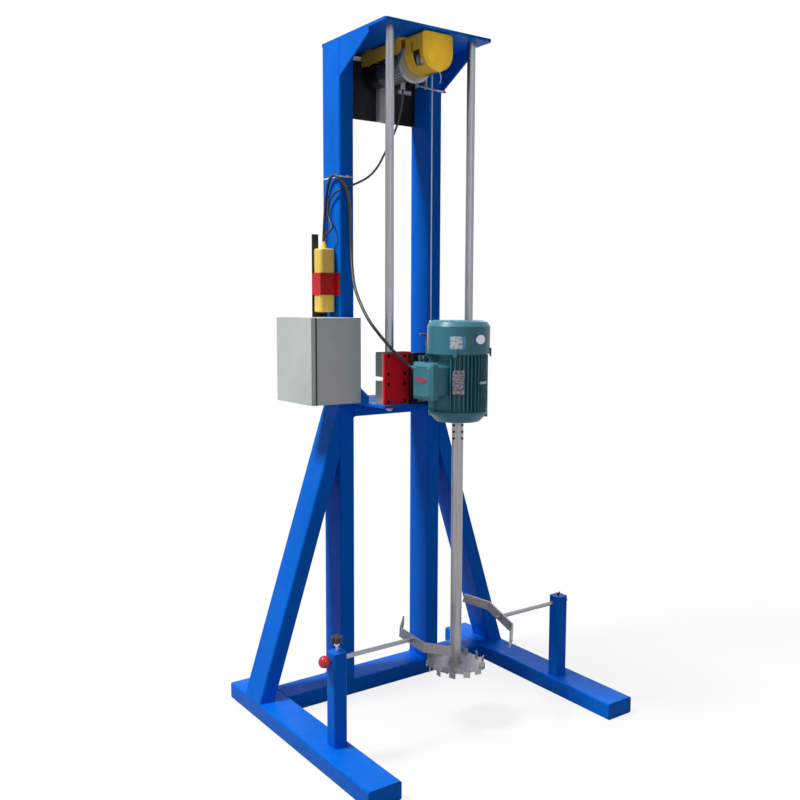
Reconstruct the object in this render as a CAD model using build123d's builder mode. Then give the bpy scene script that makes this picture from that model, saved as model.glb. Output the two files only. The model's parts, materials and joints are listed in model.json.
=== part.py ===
from build123d import *
import math
import os

# Gantry tank agitator with a hoist-lifted disperser head.
# The machine stands on z = 0 and is centred on x = 0 and y = 0. The tank is rolled in from -Y, so -Y is
# the front. All sizes are in millimetres.

os.makedirs("parts", exist_ok=True)

# ---------------------------------------------------------------- driving sizes
# Frame tube, one rectangular stock for the whole gantry
tube_deep = 120.0
tube_thin = 60.0
tube_wall = 4.0
tube_corner = 7.0
base_width = 1150.0
rail_length = 950.0
cap_thickness = 4.0
rear_overhang = 119.0
column_gap = 340.0
overall_height = 2424.0
brace_lean = 18.0

# Top plate, middle shelf and their gussets
plate_thickness = 10.0
plate_front_y = -54.0
plate_corner = 12.0
shelf_top = 1142.0
shelf_front_y = -48.0
gusset_thickness = 8.0
top_gusset_reach = 190.0
top_gusset_tip = 17.0
top_gusset_drop = 124.0
cheek_reach = 177.0
cheek_tip = 25.0
cheek_rise = 108.0

# Rear panel with its trunking
panel_sheet = 3.0
panel_inset = 6.0
panel_height = 239.0
panel_flange = 20.0
duct_width = 26.0
duct_depth = 25.0
duct_height = 145.0
trim_depth = 8.0
trim_height = 14.0

# Guide rods and carriage
rod_diameter = 30.0
rod_x = 177.0
rod_y = -2.0
rod_spigot = 16.0
running_clearance = 0.06
seat_clearance = 0.02
soft_gap = 0.3
rest_clearance = 0.5
block_width = 122.0
block_depth = 46.0
block_height = 81.5
block_pitch = 96.0
block_outer_x = 220.0
face_thickness = 10.0
carriage_width = 236.0
carriage_thickness = 28.0
bush_outer = 40.0
bush_flange = 3.0
screw_shank = 8.0
screw_head = 13.0
screw_head_height = 8.0
screw_pitch_x = 68.0
screw_pitch_z = 61.0

# Motor, foot mounted with its shaft down
shaft_height = 100.0
foot_pitch_x = 160.0
foot_pitch_z = 140.0
foot_width = 38.0
foot_thickness = 12.0
motor_shaft_diameter = 28.0
motor_drop = 54.0
shield_height = 37.0
barrel_height = 195.0
barrel_radius = 86.0
fin_radius = 102.0
fin_thickness = 3.4
fin_count = 44
cowl_radius = 108.0
cowl_sheet = 1.6
cowl_gap = 0.5
cowl_height = 114.0
cowl_bevel = 20.0
terminal_face_x = 160.0
terminal_width = 112.0
terminal_height = 126.0
terminal_depth = 31.0
lid_depth = 14.0
neck_width = 92.0
neck_height = 100.0

# Agitator
coupling_diameter = 40.0
coupling_length = 80.0
shaft_diameter = 40.0
set_screw_diameter = 8.0
set_screw_pitch = 23.0
disc_height = 217.0
disc_diameter = 210.0
disc_thickness = 4.0
tooth_pairs = 12
tooth_height = 20.0
tooth_width = 24.0

# Drum clamps
post_width = 50.0
post_offset = 17.0
post_top = 375.0
clamp_y = -172.0
clamp_z = 350.0
clamp_rod_diameter = 15.0
ball_radius = 20.0
jaw_x = 197.0
jaw_thickness = 6.0
jaw_height = 34.0
jaw_half_flat = 69.0
jaw_arm = 98.0
jaw_bend = 42.0
left_jaw_tilt = 5.0
right_jaw_tilt = 20.0
lock_screw_diameter = 8.0

# Control box on the outside of the left column
box_width = 250.0
box_height = 300.0
box_depth = 200.0
box_overhang = 138.0
box_drop = 2.0
box_sheet = 2.0
door_depth = 19.0
door_gap = 3.0

# Pendant and its holder
pendant_width = 55.0
pendant_depth = 62.0
pendant_height = 229.0
pendant_gap = 18.0
pendant_setback = 51.0
strap_sheet = 3.0
strap_rise = 62.0
strap_height = 80.0
button_radius = 9.0
button_stand = 4.0

# Hoist under the top plate
hoist_x = -26.0
hoist_drop = 88.0
rope_diameter = 5.0
drum_radius = 25.5
case_width = 130.0
case_height = 127.0
case_depth = 97.0
case_left_x = -74.0
case_front_y = -48.0
case_sheet = 3.0
hoist_top_gap = 8.0
hoist_motor_radius = 48.0
bell_radius = 66.0

# ---------------------------------------------------------------- worked-out places
rail_x = (base_width - tube_deep) / 2
post_x = rail_x - post_offset
column_x = (column_gap + tube_thin) / 2
column_outer = column_x + tube_thin / 2
column_inner = column_gap / 2
column_rear = rail_length / 2 - rear_overhang
column_y = column_rear - tube_deep / 2
column_front = column_rear - tube_deep
box_bottom = shelf_top - box_drop
box_top = box_bottom + box_height
box_front_y = column_front - box_overhang
pendant_bottom = box_top + pendant_gap
strap_bottom = pendant_bottom + strap_rise
pendant_y = column_front + pendant_setback
plate_bottom = overall_height - plate_thickness
hoist_z = plate_bottom - hoist_drop
shelf_bottom = shelf_top - plate_thickness
carriage_bottom = shelf_top + rest_clearance
block_front = rod_y - block_depth / 2
face_front = block_front - face_thickness
carriage_front = face_front - carriage_thickness
motor_y = carriage_front - shaft_height
block_x = block_outer_x - block_width / 2
carriage_height = block_height + block_pitch
carriage_top = carriage_bottom + carriage_height
motor_bottom = shelf_top - motor_drop


def tube_section(across, up, centre):
    """Hollow rectangular tube section in the sketch that is open."""
    with Locations(centre):
        RectangleRounded(across, up, tube_corner)
        RectangleRounded(
            across - 2 * tube_wall, up - 2 * tube_wall, tube_corner - tube_wall, mode=Mode.SUBTRACT
        )


# ---------------------------------------------------------------- base
# Two rails lie flat on the floor with their long side level. Welded plates close their ends.
rail_span = rail_length - 2 * cap_thickness
with BuildPart() as left_rail:
    with BuildSketch(Plane.XZ.offset(-rail_span / 2)):
        tube_section(tube_deep, tube_thin, (-rail_x, tube_thin / 2))
    extrude(amount=rail_span)
left_rail.part.label = "left_rail"
export_step(left_rail.part, "parts/left_rail.step")

with BuildPart() as right_rail:
    with BuildSketch(Plane.XZ.offset(-rail_span / 2)):
        tube_section(tube_deep, tube_thin, (rail_x, tube_thin / 2))
    extrude(amount=rail_span)
right_rail.part.label = "right_rail"
export_step(right_rail.part, "parts/right_rail.step")

with BuildPart() as rail_end_caps:
    for cap_back_y in (rail_length / 2, -rail_span / 2):
        with BuildSketch(Plane.XZ.offset(-cap_back_y)):
            with Locations((-rail_x, tube_thin / 2), (rail_x, tube_thin / 2)):
                RectangleRounded(tube_deep, tube_thin, tube_corner)
        extrude(amount=cap_thickness)
rail_end_caps.part.label = "rail_end_caps"
export_step(rail_end_caps.part, "parts/rail_end_caps.step")

cross_span = base_width - 2 * tube_deep
with BuildPart() as cross_beam:
    with BuildSketch(Plane.YZ.offset(-cross_span / 2)):
        tube_section(tube_deep, tube_thin, (column_y, tube_thin / 2))
    extrude(amount=cross_span)
cross_beam.part.label = "cross_beam"
export_step(cross_beam.part, "parts/cross_beam.step")

# ---------------------------------------------------------------- columns and braces
column_length = plate_bottom - tube_thin
with BuildPart() as left_column:
    with BuildSketch(Plane.XY.offset(tube_thin)):
        tube_section(tube_thin, tube_deep, (-column_x, column_y))
    extrude(amount=column_length)
left_column.part.label = "left_column"
export_step(left_column.part, "parts/left_column.step")

with BuildPart() as right_column:
    with BuildSketch(Plane.XY.offset(tube_thin)):
        tube_section(tube_thin, tube_deep, (column_x, column_y))
    extrude(amount=column_length)
right_column.part.label = "right_column"
export_step(right_column.part, "parts/right_column.step")


def brace_outline(inset):
    """Corners of the right brace seen from the front, taken in by a wall thickness."""
    slope = math.tan(math.radians(brace_lean))
    shift = inset / math.cos(math.radians(brace_lean))
    foot_outer = base_width / 2 - shift
    foot_inner = base_width / 2 - tube_thin / math.cos(math.radians(brace_lean)) + shift
    return [
        (foot_outer, tube_thin),
        (foot_inner, tube_thin),
        (column_outer, tube_thin + (foot_inner - column_outer) / slope),
        (column_outer, tube_thin + (foot_outer - column_outer) / slope),
    ]


# Each brace leans from the outer edge of its rail to the outer face of its column. Its foot and head are
# cut to seat flat on both.
with BuildPart() as right_brace:
    with BuildSketch(Plane.XZ.offset(-column_rear)):
        with BuildLine():
            Polyline(*brace_outline(0), close=True)
        make_face()
    extrude(amount=tube_deep)
    long_edges = right_brace.edges().filter_by(lambda edge: edge.length > 2 * tube_deep)
    fillet(long_edges, tube_corner)
    with BuildSketch(Plane.XZ.offset(tube_wall - column_rear)):
        with BuildLine():
            Polyline(*brace_outline(tube_wall), close=True)
        make_face()
    extrude(amount=tube_deep - 2 * tube_wall, mode=Mode.SUBTRACT)
right_brace.part.label = "right_brace"
export_step(right_brace.part, "parts/right_brace.step")

with BuildPart() as left_brace:
    mirror(right_brace.part, about=Plane.YZ)
left_brace.part.label = "left_brace"
export_step(left_brace.part, "parts/left_brace.step")

with BuildPart() as mid_crossbar:
    with BuildSketch(Plane.YZ.offset(-column_inner)):
        tube_section(tube_deep, tube_thin, (column_y, shelf_bottom - tube_thin / 2))
    extrude(amount=column_gap)
mid_crossbar.part.label = "mid_crossbar"
export_step(mid_crossbar.part, "parts/mid_crossbar.step")

# ---------------------------------------------------------------- shelf, top plate and gussets
spigot_hole = rod_spigot / 2 + running_clearance
with BuildPart() as shelf_plate:
    with BuildSketch(Plane.XY.offset(shelf_bottom)):
        with Locations((0, (shelf_front_y + column_front) / 2)):
            Rectangle(2 * column_outer, column_front - shelf_front_y)
        with Locations((0, (column_front + column_y) / 2)):
            Rectangle(column_gap, column_y - column_front)
        with Locations((-rod_x, rod_y), (rod_x, rod_y)):
            Circle(spigot_hole, mode=Mode.SUBTRACT)
    extrude(amount=plate_thickness)
    front_corners = shelf_plate.edges().filter_by(Axis.Z).group_by(Axis.Y)[0]
    fillet(front_corners, plate_corner)
shelf_plate.part.label = "shelf_plate"
export_step(shelf_plate.part, "parts/shelf_plate.step")

with BuildPart() as top_plate:
    with BuildSketch(Plane.XY.offset(plate_bottom)):
        with Locations((0, (plate_front_y + column_rear) / 2)):
            Rectangle(2 * column_outer, column_rear - plate_front_y)
        with Locations((-rod_x, rod_y), (rod_x, rod_y)):
            Circle(spigot_hole, mode=Mode.SUBTRACT)
    extrude(amount=plate_thickness)
    front_corners = top_plate.edges().filter_by(Axis.Z).group_by(Axis.Y)[0]
    fillet(front_corners, plate_corner)
top_plate.part.label = "top_plate"
export_step(top_plate.part, "parts/top_plate.step")

# Under the top plate the gussets hang from the plate, and on the shelf they stand as cheeks. All four lie
# in the plane of the columns' outer faces.
top_gusset = [
    (column_front, plate_bottom),
    (column_front - top_gusset_reach, plate_bottom),
    (column_front - top_gusset_reach, plate_bottom - top_gusset_tip),
    (column_front, plate_bottom - top_gusset_drop),
]
shelf_cheek = [
    (column_front, shelf_top),
    (column_front - cheek_reach, shelf_top),
    (column_front - cheek_reach, shelf_top + cheek_tip),
    (column_front, shelf_top + cheek_rise),
]
with BuildPart() as gusset_plates:
    for gusset_x in (-column_outer, column_outer - gusset_thickness):
        for outline in (top_gusset, shelf_cheek):
            with BuildSketch(Plane.YZ.offset(gusset_x)):
                with BuildLine():
                    Polyline(*outline, close=True)
                make_face()
            extrude(amount=gusset_thickness)
gusset_plates.part.label = "gusset_plates"
export_step(gusset_plates.part, "parts/gusset_plates.step")

# ---------------------------------------------------------------- rear panel
# Folded sheet between the columns, with a wiring duct and two light rails on its front.
panel_rear = column_rear - panel_inset
panel_front = panel_rear - panel_sheet
panel_bottom = plate_bottom - panel_height
with BuildPart() as rear_panel:
    with BuildSketch(Plane.XY.offset(panel_bottom)):
        with Locations((0, panel_rear - panel_sheet / 2)):
            Rectangle(column_gap, panel_sheet)
        for side in (-1, 1):
            with Locations((side * (column_inner - panel_sheet / 2), panel_rear - panel_flange / 2)):
                Rectangle(panel_sheet, panel_flange)
    extrude(amount=panel_height)
    with BuildSketch(Plane.XY.offset(panel_bottom)):
        with Locations((duct_width / 2, panel_front - duct_depth / 2)):
            Rectangle(duct_width, duct_depth)
    extrude(amount=duct_height)
    with BuildSketch(Plane.XY.offset(plate_bottom - 2 * trim_height)):
        with Locations((-column_inner / 2, panel_front - trim_depth / 2)):
            Rectangle(column_gap / 2 - 2 * panel_flange, trim_depth)
    extrude(amount=trim_height)
    with BuildSketch(Plane.XY.offset(panel_bottom + duct_height - 2 * trim_height)):
        with Locations((column_inner - 2 * panel_flange, panel_front - trim_depth / 2)):
            Rectangle(3 * panel_flange, trim_depth)
    extrude(amount=trim_height)
rear_panel.part.label = "rear_panel"
export_step(rear_panel.part, "parts/rear_panel.step")

# ---------------------------------------------------------------- guide rods
# Ground rods stand on the shelf. A spigot at each end passes through the plate, plug-welded at the top and
# held by a nut under the shelf.
rod_nut_height = 10.0
rod_nut_flats = 24.0
rod_thread = plate_thickness + rod_nut_height + 4.0
with BuildPart() as guide_rods:
    for side in (-1, 1):
        with BuildSketch(Plane.XY.offset(shelf_top)):
            with Locations((side * rod_x, rod_y)):
                Circle(rod_diameter / 2)
        extrude(amount=plate_bottom - shelf_top)
        with BuildSketch(Plane.XY.offset(shelf_top - rod_thread)):
            with Locations((side * rod_x, rod_y)):
                Circle(rod_spigot / 2)
        extrude(amount=rod_thread)
        with BuildSketch(Plane.XY.offset(plate_bottom)):
            with Locations((side * rod_x, rod_y)):
                Circle(rod_spigot / 2)
        extrude(amount=plate_thickness)
    with BuildSketch(Plane.XY.offset(shelf_bottom - rod_nut_height)):
        with Locations((-rod_x, rod_y), (rod_x, rod_y)):
            RegularPolygon(rod_nut_flats / 2, 6, major_radius=False)
            Circle(rod_spigot / 2 + running_clearance, mode=Mode.SUBTRACT)
    extrude(amount=rod_nut_height)
guide_rods.part.label = "guide_rods"
export_step(guide_rods.part, "parts/guide_rods.step")

# ---------------------------------------------------------------- drum clamps
# A post stands on each rail. Its cross bore carries a sliding rod with a swivelling jaw at the inner end.
post_cap = 5.0
post_side = post_x + post_width / 2
with BuildPart() as clamp_posts:
    for side in (-1, 1):
        with BuildSketch(Plane.XY.offset(tube_thin)):
            with Locations((side * post_x, clamp_y)):
                RectangleRounded(post_width, post_width, tube_corner)
        extrude(amount=post_top - tube_thin)
        with BuildSketch(Plane.XY.offset(tube_thin)):
            with Locations((side * post_x, clamp_y)):
                RectangleRounded(
                    post_width - 2 * tube_wall, post_width - 2 * tube_wall, tube_corner - tube_wall
                )
        extrude(amount=post_top - post_cap - tube_thin, mode=Mode.SUBTRACT)
        with BuildSketch(Plane.XY.offset(post_top - post_cap)):
            with Locations((side * post_x, clamp_y)):
                Circle(lock_screw_diameter / 2 + running_clearance)
        extrude(amount=post_cap, mode=Mode.SUBTRACT)
    with BuildSketch(Plane.YZ.offset(-base_width / 2)):
        with Locations((clamp_y, clamp_z)):
            Circle(clamp_rod_diameter / 2 + running_clearance)
    extrude(amount=base_width, mode=Mode.SUBTRACT)
clamp_posts.part.label = "clamp_posts"
export_step(clamp_posts.part, "parts/clamp_posts.step")

ball_gap = 1.0
ball_bore = 10.0
ball_x = post_side + ball_gap + ball_radius
right_rod_end = post_side + 18.0
spigot_diameter = 10.0
spigot_length = 22.0
jaw_nut_height = 8.0
jaw_nut_flats = 17.0
rod_shoulder = jaw_x + jaw_thickness + running_clearance
jaw_nut_face = jaw_x - running_clearance


def clamp_rod(outer_end):
    """Rod on the right: its body to the shoulder, the spigot through the jaw, and the nut inside it."""
    with BuildPart() as rod:
        with BuildSketch(Plane.YZ.offset(rod_shoulder)):
            with Locations((clamp_y, clamp_z)):
                Circle(clamp_rod_diameter / 2)
        extrude(amount=outer_end - rod_shoulder)
        with BuildSketch(Plane.YZ.offset(rod_shoulder)):
            with Locations((clamp_y, clamp_z)):
                Circle(spigot_diameter / 2)
        extrude(amount=-spigot_length)
        with BuildSketch(Plane.YZ.offset(jaw_nut_face)):
            with Locations((clamp_y, clamp_z)):
                RegularPolygon(jaw_nut_flats / 2, 6, major_radius=False)
                Circle(spigot_diameter / 2 + seat_clearance, mode=Mode.SUBTRACT)
        extrude(amount=-jaw_nut_height)
    return rod.part


with BuildPart() as left_clamp_rod:
    mirror(clamp_rod(ball_x - ball_bore - soft_gap), about=Plane.YZ)
left_clamp_rod.part.label = "left_clamp_rod"
export_step(left_clamp_rod.part, "parts/left_clamp_rod.step")

with BuildPart() as right_clamp_rod:
    add(clamp_rod(right_rod_end))
right_clamp_rod.part.label = "right_clamp_rod"
export_step(right_clamp_rod.part, "parts/right_clamp_rod.step")

with BuildPart() as left_ball_knob:
    with Locations((-ball_x, clamp_y, clamp_z)):
        Sphere(ball_radius)
    with BuildSketch(Plane.YZ.offset(ball_bore - ball_x)):
        with Locations((clamp_y, clamp_z)):
            Circle(clamp_rod_diameter / 2 + soft_gap / 2)
    extrude(amount=ball_radius, mode=Mode.SUBTRACT)
left_ball_knob.part.label = "left_ball_knob"
export_step(left_ball_knob.part, "parts/left_ball_knob.step")

jaw_bend_outer = 9.0
jaw_spigot_bore = spigot_diameter / 2 + running_clearance


def clamp_jaw(side, tilt):
    """Flat bar with both arms bent toward the drum, turned about its rod so that the front end drops."""
    bend = math.radians(jaw_bend)
    lean = math.radians(tilt)
    mitre = jaw_thickness * math.tan(bend / 2)
    along = (jaw_arm * math.sin(bend), jaw_arm * math.cos(bend))
    across = (jaw_thickness * math.cos(bend), -jaw_thickness * math.sin(bend))
    tip_outer = (along[0] - jaw_thickness, jaw_half_flat + along[1])
    tip_inner = (tip_outer[0] + across[0], tip_outer[1] + across[1])
    half = [(-jaw_thickness, jaw_half_flat), tip_outer, tip_inner, (0, jaw_half_flat - mitre)]
    outline = half + [(u, -v) for u, v in reversed(half)]
    face = Plane(
        origin=(side * jaw_x, clamp_y, clamp_z),
        x_dir=(-side, 0, 0),
        z_dir=(0, -math.sin(lean), math.cos(lean)),
    )
    with BuildPart() as jaw:
        with BuildSketch(face.offset(-jaw_height / 2)) as plan:
            with BuildLine():
                Polyline(*outline, close=True)
            make_face()
            bends = plan.vertices().filter_by(lambda corner: abs(corner.Y) < jaw_half_flat + 1)
            fillet(bends.filter_by(lambda corner: corner.X < -1), jaw_bend_outer)
            bends = plan.vertices().filter_by(lambda corner: abs(corner.Y) < jaw_half_flat - 1)
            fillet(bends.filter_by(lambda corner: corner.X > -1), jaw_bend_outer - jaw_thickness)
        extrude(amount=jaw_height)
        with BuildSketch(Plane.YZ.offset(side * jaw_x - 2 * jaw_thickness)):
            with Locations((clamp_y, clamp_z)):
                Circle(jaw_spigot_bore)
        extrude(amount=4 * jaw_thickness, mode=Mode.SUBTRACT)
    return jaw.part


with BuildPart() as left_jaw:
    add(clamp_jaw(-1, left_jaw_tilt))
left_jaw.part.label = "left_jaw"
export_step(left_jaw.part, "parts/left_jaw.step")

with BuildPart() as right_jaw:
    add(clamp_jaw(1, right_jaw_tilt))
right_jaw.part.label = "right_jaw"
export_step(right_jaw.part, "parts/right_jaw.step")

# A screw through each post cap bears on its rod. The left one has a star grip, the right one a wing head.
screw_tip = clamp_z + clamp_rod_diameter / 2 + soft_gap
grip_bottom = post_top + 30.0
grip_height = 20.0
grip_radius = 14.0
grip_lobe = 6.0
grip_neck = 9.0
with BuildPart() as left_lock_knob:
    with BuildSketch(Plane.XY.offset(screw_tip)):
        with Locations((-post_x, clamp_y)):
            Circle(lock_screw_diameter / 2)
    extrude(amount=grip_bottom - screw_tip)
    with BuildSketch(Plane.XY.offset(grip_bottom - grip_neck)):
        with Locations((-post_x, clamp_y)):
            Circle(grip_neck)
    extrude(amount=grip_neck)
    with BuildSketch(Plane.XY.offset(grip_bottom)):
        with Locations((-post_x, clamp_y)):
            Circle(grip_radius + 1)
            with PolarLocations(grip_radius, 6):
                Circle(grip_lobe)
    extrude(amount=grip_height)
    top_rim = left_lock_knob.faces().sort_by(Axis.Z)[-1].edges()
    fillet(top_rim, 2)
left_lock_knob.part.label = "left_lock_knob"
export_step(left_lock_knob.part, "parts/left_lock_knob.step")

wing_bottom = post_top + 3.0
wing_height = 10.0
wing_span = 18.0
wing_thickness = 3.5
with BuildPart() as right_lock_screw:
    with BuildSketch(Plane.XY.offset(screw_tip)):
        with Locations((post_x, clamp_y)):
            Circle(lock_screw_diameter / 2)
    extrude(amount=wing_bottom - screw_tip + wing_height / 2)
    with BuildSketch(Plane.XZ.offset(-clamp_y - wing_thickness / 2)):
        with BuildLine():
            Polyline(
                (post_x - wing_thickness, wing_bottom),
                (post_x + wing_thickness, wing_bottom),
                (post_x + wing_span / 2, wing_bottom + wing_height),
                (post_x, wing_bottom + wing_height / 2),
                (post_x - wing_span / 2, wing_bottom + wing_height),
                close=True,
            )
        make_face()
    extrude(amount=wing_thickness)
right_lock_screw.part.label = "right_lock_screw"
export_step(right_lock_screw.part, "parts/right_lock_screw.step")

# ---------------------------------------------------------------- carriage
# Two bearing blocks run on each guide rod. The face plate joins them, and the carriage plate joins both
# face plates and carries the motor on its front.
block_levels = [carriage_bottom, carriage_bottom + block_pitch]
bush_bore = rod_diameter / 2 + running_clearance
screw_middle_x = (carriage_width / 2 + block_outer_x) / 2
screw_depth = 20.0
screw_places = [
    (side * screw_middle_x + offset_x, level + block_height / 2 + offset_z)
    for side in (-1, 1)
    for level in block_levels
    for offset_x in (-screw_pitch_x / 2, screw_pitch_x / 2)
    for offset_z in (-screw_pitch_z / 2, screw_pitch_z / 2)
]
with BuildPart() as bearing_blocks:
    for side in (-1, 1):
        for level in block_levels:
            with BuildSketch(Plane.XY.offset(level)):
                with Locations((side * block_x, rod_y)):
                    Rectangle(block_width, block_depth)
                with Locations((side * rod_x, rod_y)):
                    Circle(bush_outer / 2 + seat_clearance, mode=Mode.SUBTRACT)
            extrude(amount=block_height)
    chamfer(bearing_blocks.edges().filter_by(Axis.Z), 1)
    with BuildSketch(Plane.XZ.offset(-block_front - screw_depth)):
        with Locations(*screw_places):
            Circle(screw_shank / 2 + seat_clearance)
    extrude(amount=screw_depth, mode=Mode.SUBTRACT)
bearing_blocks.part.label = "bearing_blocks"
export_step(bearing_blocks.part, "parts/bearing_blocks.step")

# The upper bushes end in a wiper plate that lies on the block.
wiper_margin = 2.0
with BuildPart() as guide_bushes:
    for side in (-1, 1):
        for level in block_levels:
            with BuildSketch(Plane.XY.offset(level)):
                with Locations((side * rod_x, rod_y)):
                    Circle(bush_outer / 2)
                    Circle(bush_bore, mode=Mode.SUBTRACT)
            extrude(amount=block_height)
        with BuildSketch(Plane.XY.offset(carriage_bottom + carriage_height)):
            with Locations((side * block_x, rod_y)):
                Rectangle(block_width - 2 * wiper_margin, block_depth - wiper_margin)
            with Locations((side * rod_x, rod_y)):
                Circle(bush_bore, mode=Mode.SUBTRACT)
        extrude(amount=bush_flange)
guide_bushes.part.label = "guide_bushes"
export_step(guide_bushes.part, "parts/guide_bushes.step")

with BuildPart() as face_plates:
    with BuildSketch(Plane.XZ.offset(-block_front)):
        for side in (-1, 1):
            with Locations((side * block_x, carriage_bottom + carriage_height / 2)):
                Rectangle(block_width, carriage_height)
    extrude(amount=face_thickness)
    with BuildSketch(Plane.XZ.offset(-block_front)):
        with Locations(*screw_places):
            Circle(screw_shank / 2 + seat_clearance)
    extrude(amount=face_thickness, mode=Mode.SUBTRACT)
    with BuildSketch(Plane.XZ.offset(-face_front - screw_head_height)):
        with Locations(*screw_places):
            Circle(screw_head / 2 + soft_gap)
    extrude(amount=screw_head_height, mode=Mode.SUBTRACT)
face_plates.part.label = "face_plates"
export_step(face_plates.part, "parts/face_plates.step")

socket_flats = 6.0
socket_depth = 4.0
with BuildPart() as face_screws:
    with BuildSketch(Plane.XZ.offset(-face_front - screw_head_height)):
        with Locations(*screw_places):
            Circle(screw_head / 2)
    extrude(amount=screw_head_height - soft_gap)
    with BuildSketch(Plane.XZ.offset(-block_front - screw_depth + 2 * soft_gap)):
        with Locations(*screw_places):
            Circle(screw_shank / 2)
    extrude(amount=screw_depth + face_thickness - screw_head_height - 2 * soft_gap)
    with BuildSketch(Plane.XZ.offset(-face_front - soft_gap)):
        with Locations(*screw_places):
            RegularPolygon(socket_flats / 2, 6, major_radius=False)
    extrude(amount=-socket_depth, mode=Mode.SUBTRACT)
face_screws.part.label = "face_screws"
export_step(face_screws.part, "parts/face_screws.step")

foot_bolt_shank = 10.0
foot_bolt_flats = 17.0
foot_bolt_head = 7.0
foot_bolt_depth = 20.0
foot_middle_z = carriage_bottom + carriage_height / 2
with BuildPart() as carriage_plate:
    with BuildSketch(Plane.XZ.offset(-face_front)):
        with Locations((0, foot_middle_z)):
            Rectangle(carriage_width, carriage_height)
    extrude(amount=carriage_thickness)
    chamfer(carriage_plate.edges().filter_by(Axis.Y), 2)
    with BuildSketch(Plane.XZ.offset(-carriage_front - foot_bolt_depth)):
        with Locations((0, foot_middle_z)):
            with GridLocations(foot_pitch_x, foot_pitch_z, 2, 2):
                Circle(foot_bolt_shank / 2 + seat_clearance)
    extrude(amount=foot_bolt_depth, mode=Mode.SUBTRACT)
carriage_plate.part.label = "carriage_plate"
export_step(carriage_plate.part, "parts/carriage_plate.step")

# The hoist hook holds this eye, welded to the back of the carriage plate between the bearing blocks.
eye_thickness = 12.0
eye_rear_y = 16.0
eye_root_z = carriage_top - 30.0
eye_hole = 22.0
eye_top_wall = 12.0
eye_hole_z = carriage_top + 14.4
eye_top_z = eye_hole_z + eye_hole / 2 + eye_top_wall
with BuildPart() as lifting_eye:
    with BuildSketch(Plane.YZ.offset(-eye_thickness / 2)) as eye_outline:
        with BuildLine():
            Polyline(
                (face_front, eye_root_z - 60),
                (eye_rear_y - 18, eye_root_z),
                (eye_rear_y, eye_hole_z - eye_hole),
                (eye_rear_y, eye_top_z),
                (rod_y - (eye_rear_y - rod_y), eye_top_z),
                (rod_y - (eye_rear_y - rod_y), eye_root_z + 14),
                (face_front, carriage_top),
                close=True,
            )
        make_face()
        upper = eye_outline.vertices().group_by(Axis.Y)[-1]
        fillet(upper, eye_top_wall)
        with Locations((rod_y, eye_hole_z)):
            Circle(eye_hole / 2, mode=Mode.SUBTRACT)
    extrude(amount=eye_thickness)
lifting_eye.part.label = "lifting_eye"
export_step(lifting_eye.part, "parts/lifting_eye.step")

# ---------------------------------------------------------------- motor
# Totally enclosed motor, foot mounted on the carriage plate, with its shaft down and its fan on top.
barrel_bottom = motor_bottom + shield_height
barrel_top = barrel_bottom + barrel_height
barrel_wall = 8.0
fin_bottom = barrel_bottom + 4.0
fin_top = barrel_top - 4.0
foot_leg = 16.0
foot_free_angle = 38.0
box_free_angle = 33.0
fin_step = 360.0 / fin_count


def fin_angles():
    """Directions of the cooling fins, with none behind the feet or the terminal box."""
    kept = []
    for index in range(fin_count):
        angle = (index + 0.5) * fin_step
        behind_foot = abs(angle - 90) < foot_free_angle
        behind_box = abs(angle - 180) < box_free_angle
        if not behind_foot and not behind_box:
            kept.append(angle)
    return kept


with BuildPart() as motor_housing:
    with BuildSketch(Plane.XY.offset(barrel_bottom)):
        with Locations((0, motor_y)):
            Circle(barrel_radius)
    extrude(amount=barrel_height)
    with BuildSketch(Plane.XY.offset(fin_bottom)):
        for angle in fin_angles():
            with Locations((0, motor_y)):
                with Locations(Location((0, 0, 0), (0, 0, angle))):
                    with Locations((barrel_radius, 0)):
                        Rectangle(2 * (fin_radius - barrel_radius), fin_thickness)
    extrude(amount=fin_top - fin_bottom)
    for side in (-1, 1):
        foot_outer = foot_pitch_x / 2 + foot_width / 2
        foot_inner = foot_pitch_x / 2 - foot_width / 2
        with BuildSketch(Plane.XY.offset(foot_middle_z - foot_pitch_z / 2 - foot_width / 2 + 8)):
            with BuildLine():
                Polyline(
                    (side * foot_outer, carriage_front),
                    (side * foot_inner, carriage_front),
                    (side * (foot_inner - foot_leg), carriage_front - 3 * foot_thickness),
                    (side * (foot_inner + foot_leg / 2), carriage_front - 5 * foot_thickness),
                    (side * (foot_inner + foot_leg / 2), carriage_front - foot_thickness),
                    (side * foot_outer, carriage_front - foot_thickness),
                    close=True,
                )
            make_face()
        extrude(amount=foot_pitch_z + 2 * (foot_width / 2 - 8))
    with BuildSketch(Plane.YZ.offset(-terminal_face_x + terminal_depth)):
        with Locations((motor_y, foot_middle_z)):
            RectangleRounded(neck_width, neck_height, 8)
    extrude(until=Until.NEXT)
    with BuildSketch(Plane.XY.offset(barrel_bottom)):
        with Locations((0, motor_y)):
            Circle(barrel_radius - barrel_wall)
    extrude(amount=barrel_height, mode=Mode.SUBTRACT)
    with BuildSketch(Plane.XZ.offset(-carriage_front)):
        with Locations((0, foot_middle_z)):
            with GridLocations(foot_pitch_x, foot_pitch_z, 2, 2):
                Circle(foot_bolt_shank / 2 + 1)
    extrude(amount=foot_thickness, mode=Mode.SUBTRACT)
motor_housing.part.label = "motor_housing"
export_step(motor_housing.part, "parts/motor_housing.step")

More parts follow.
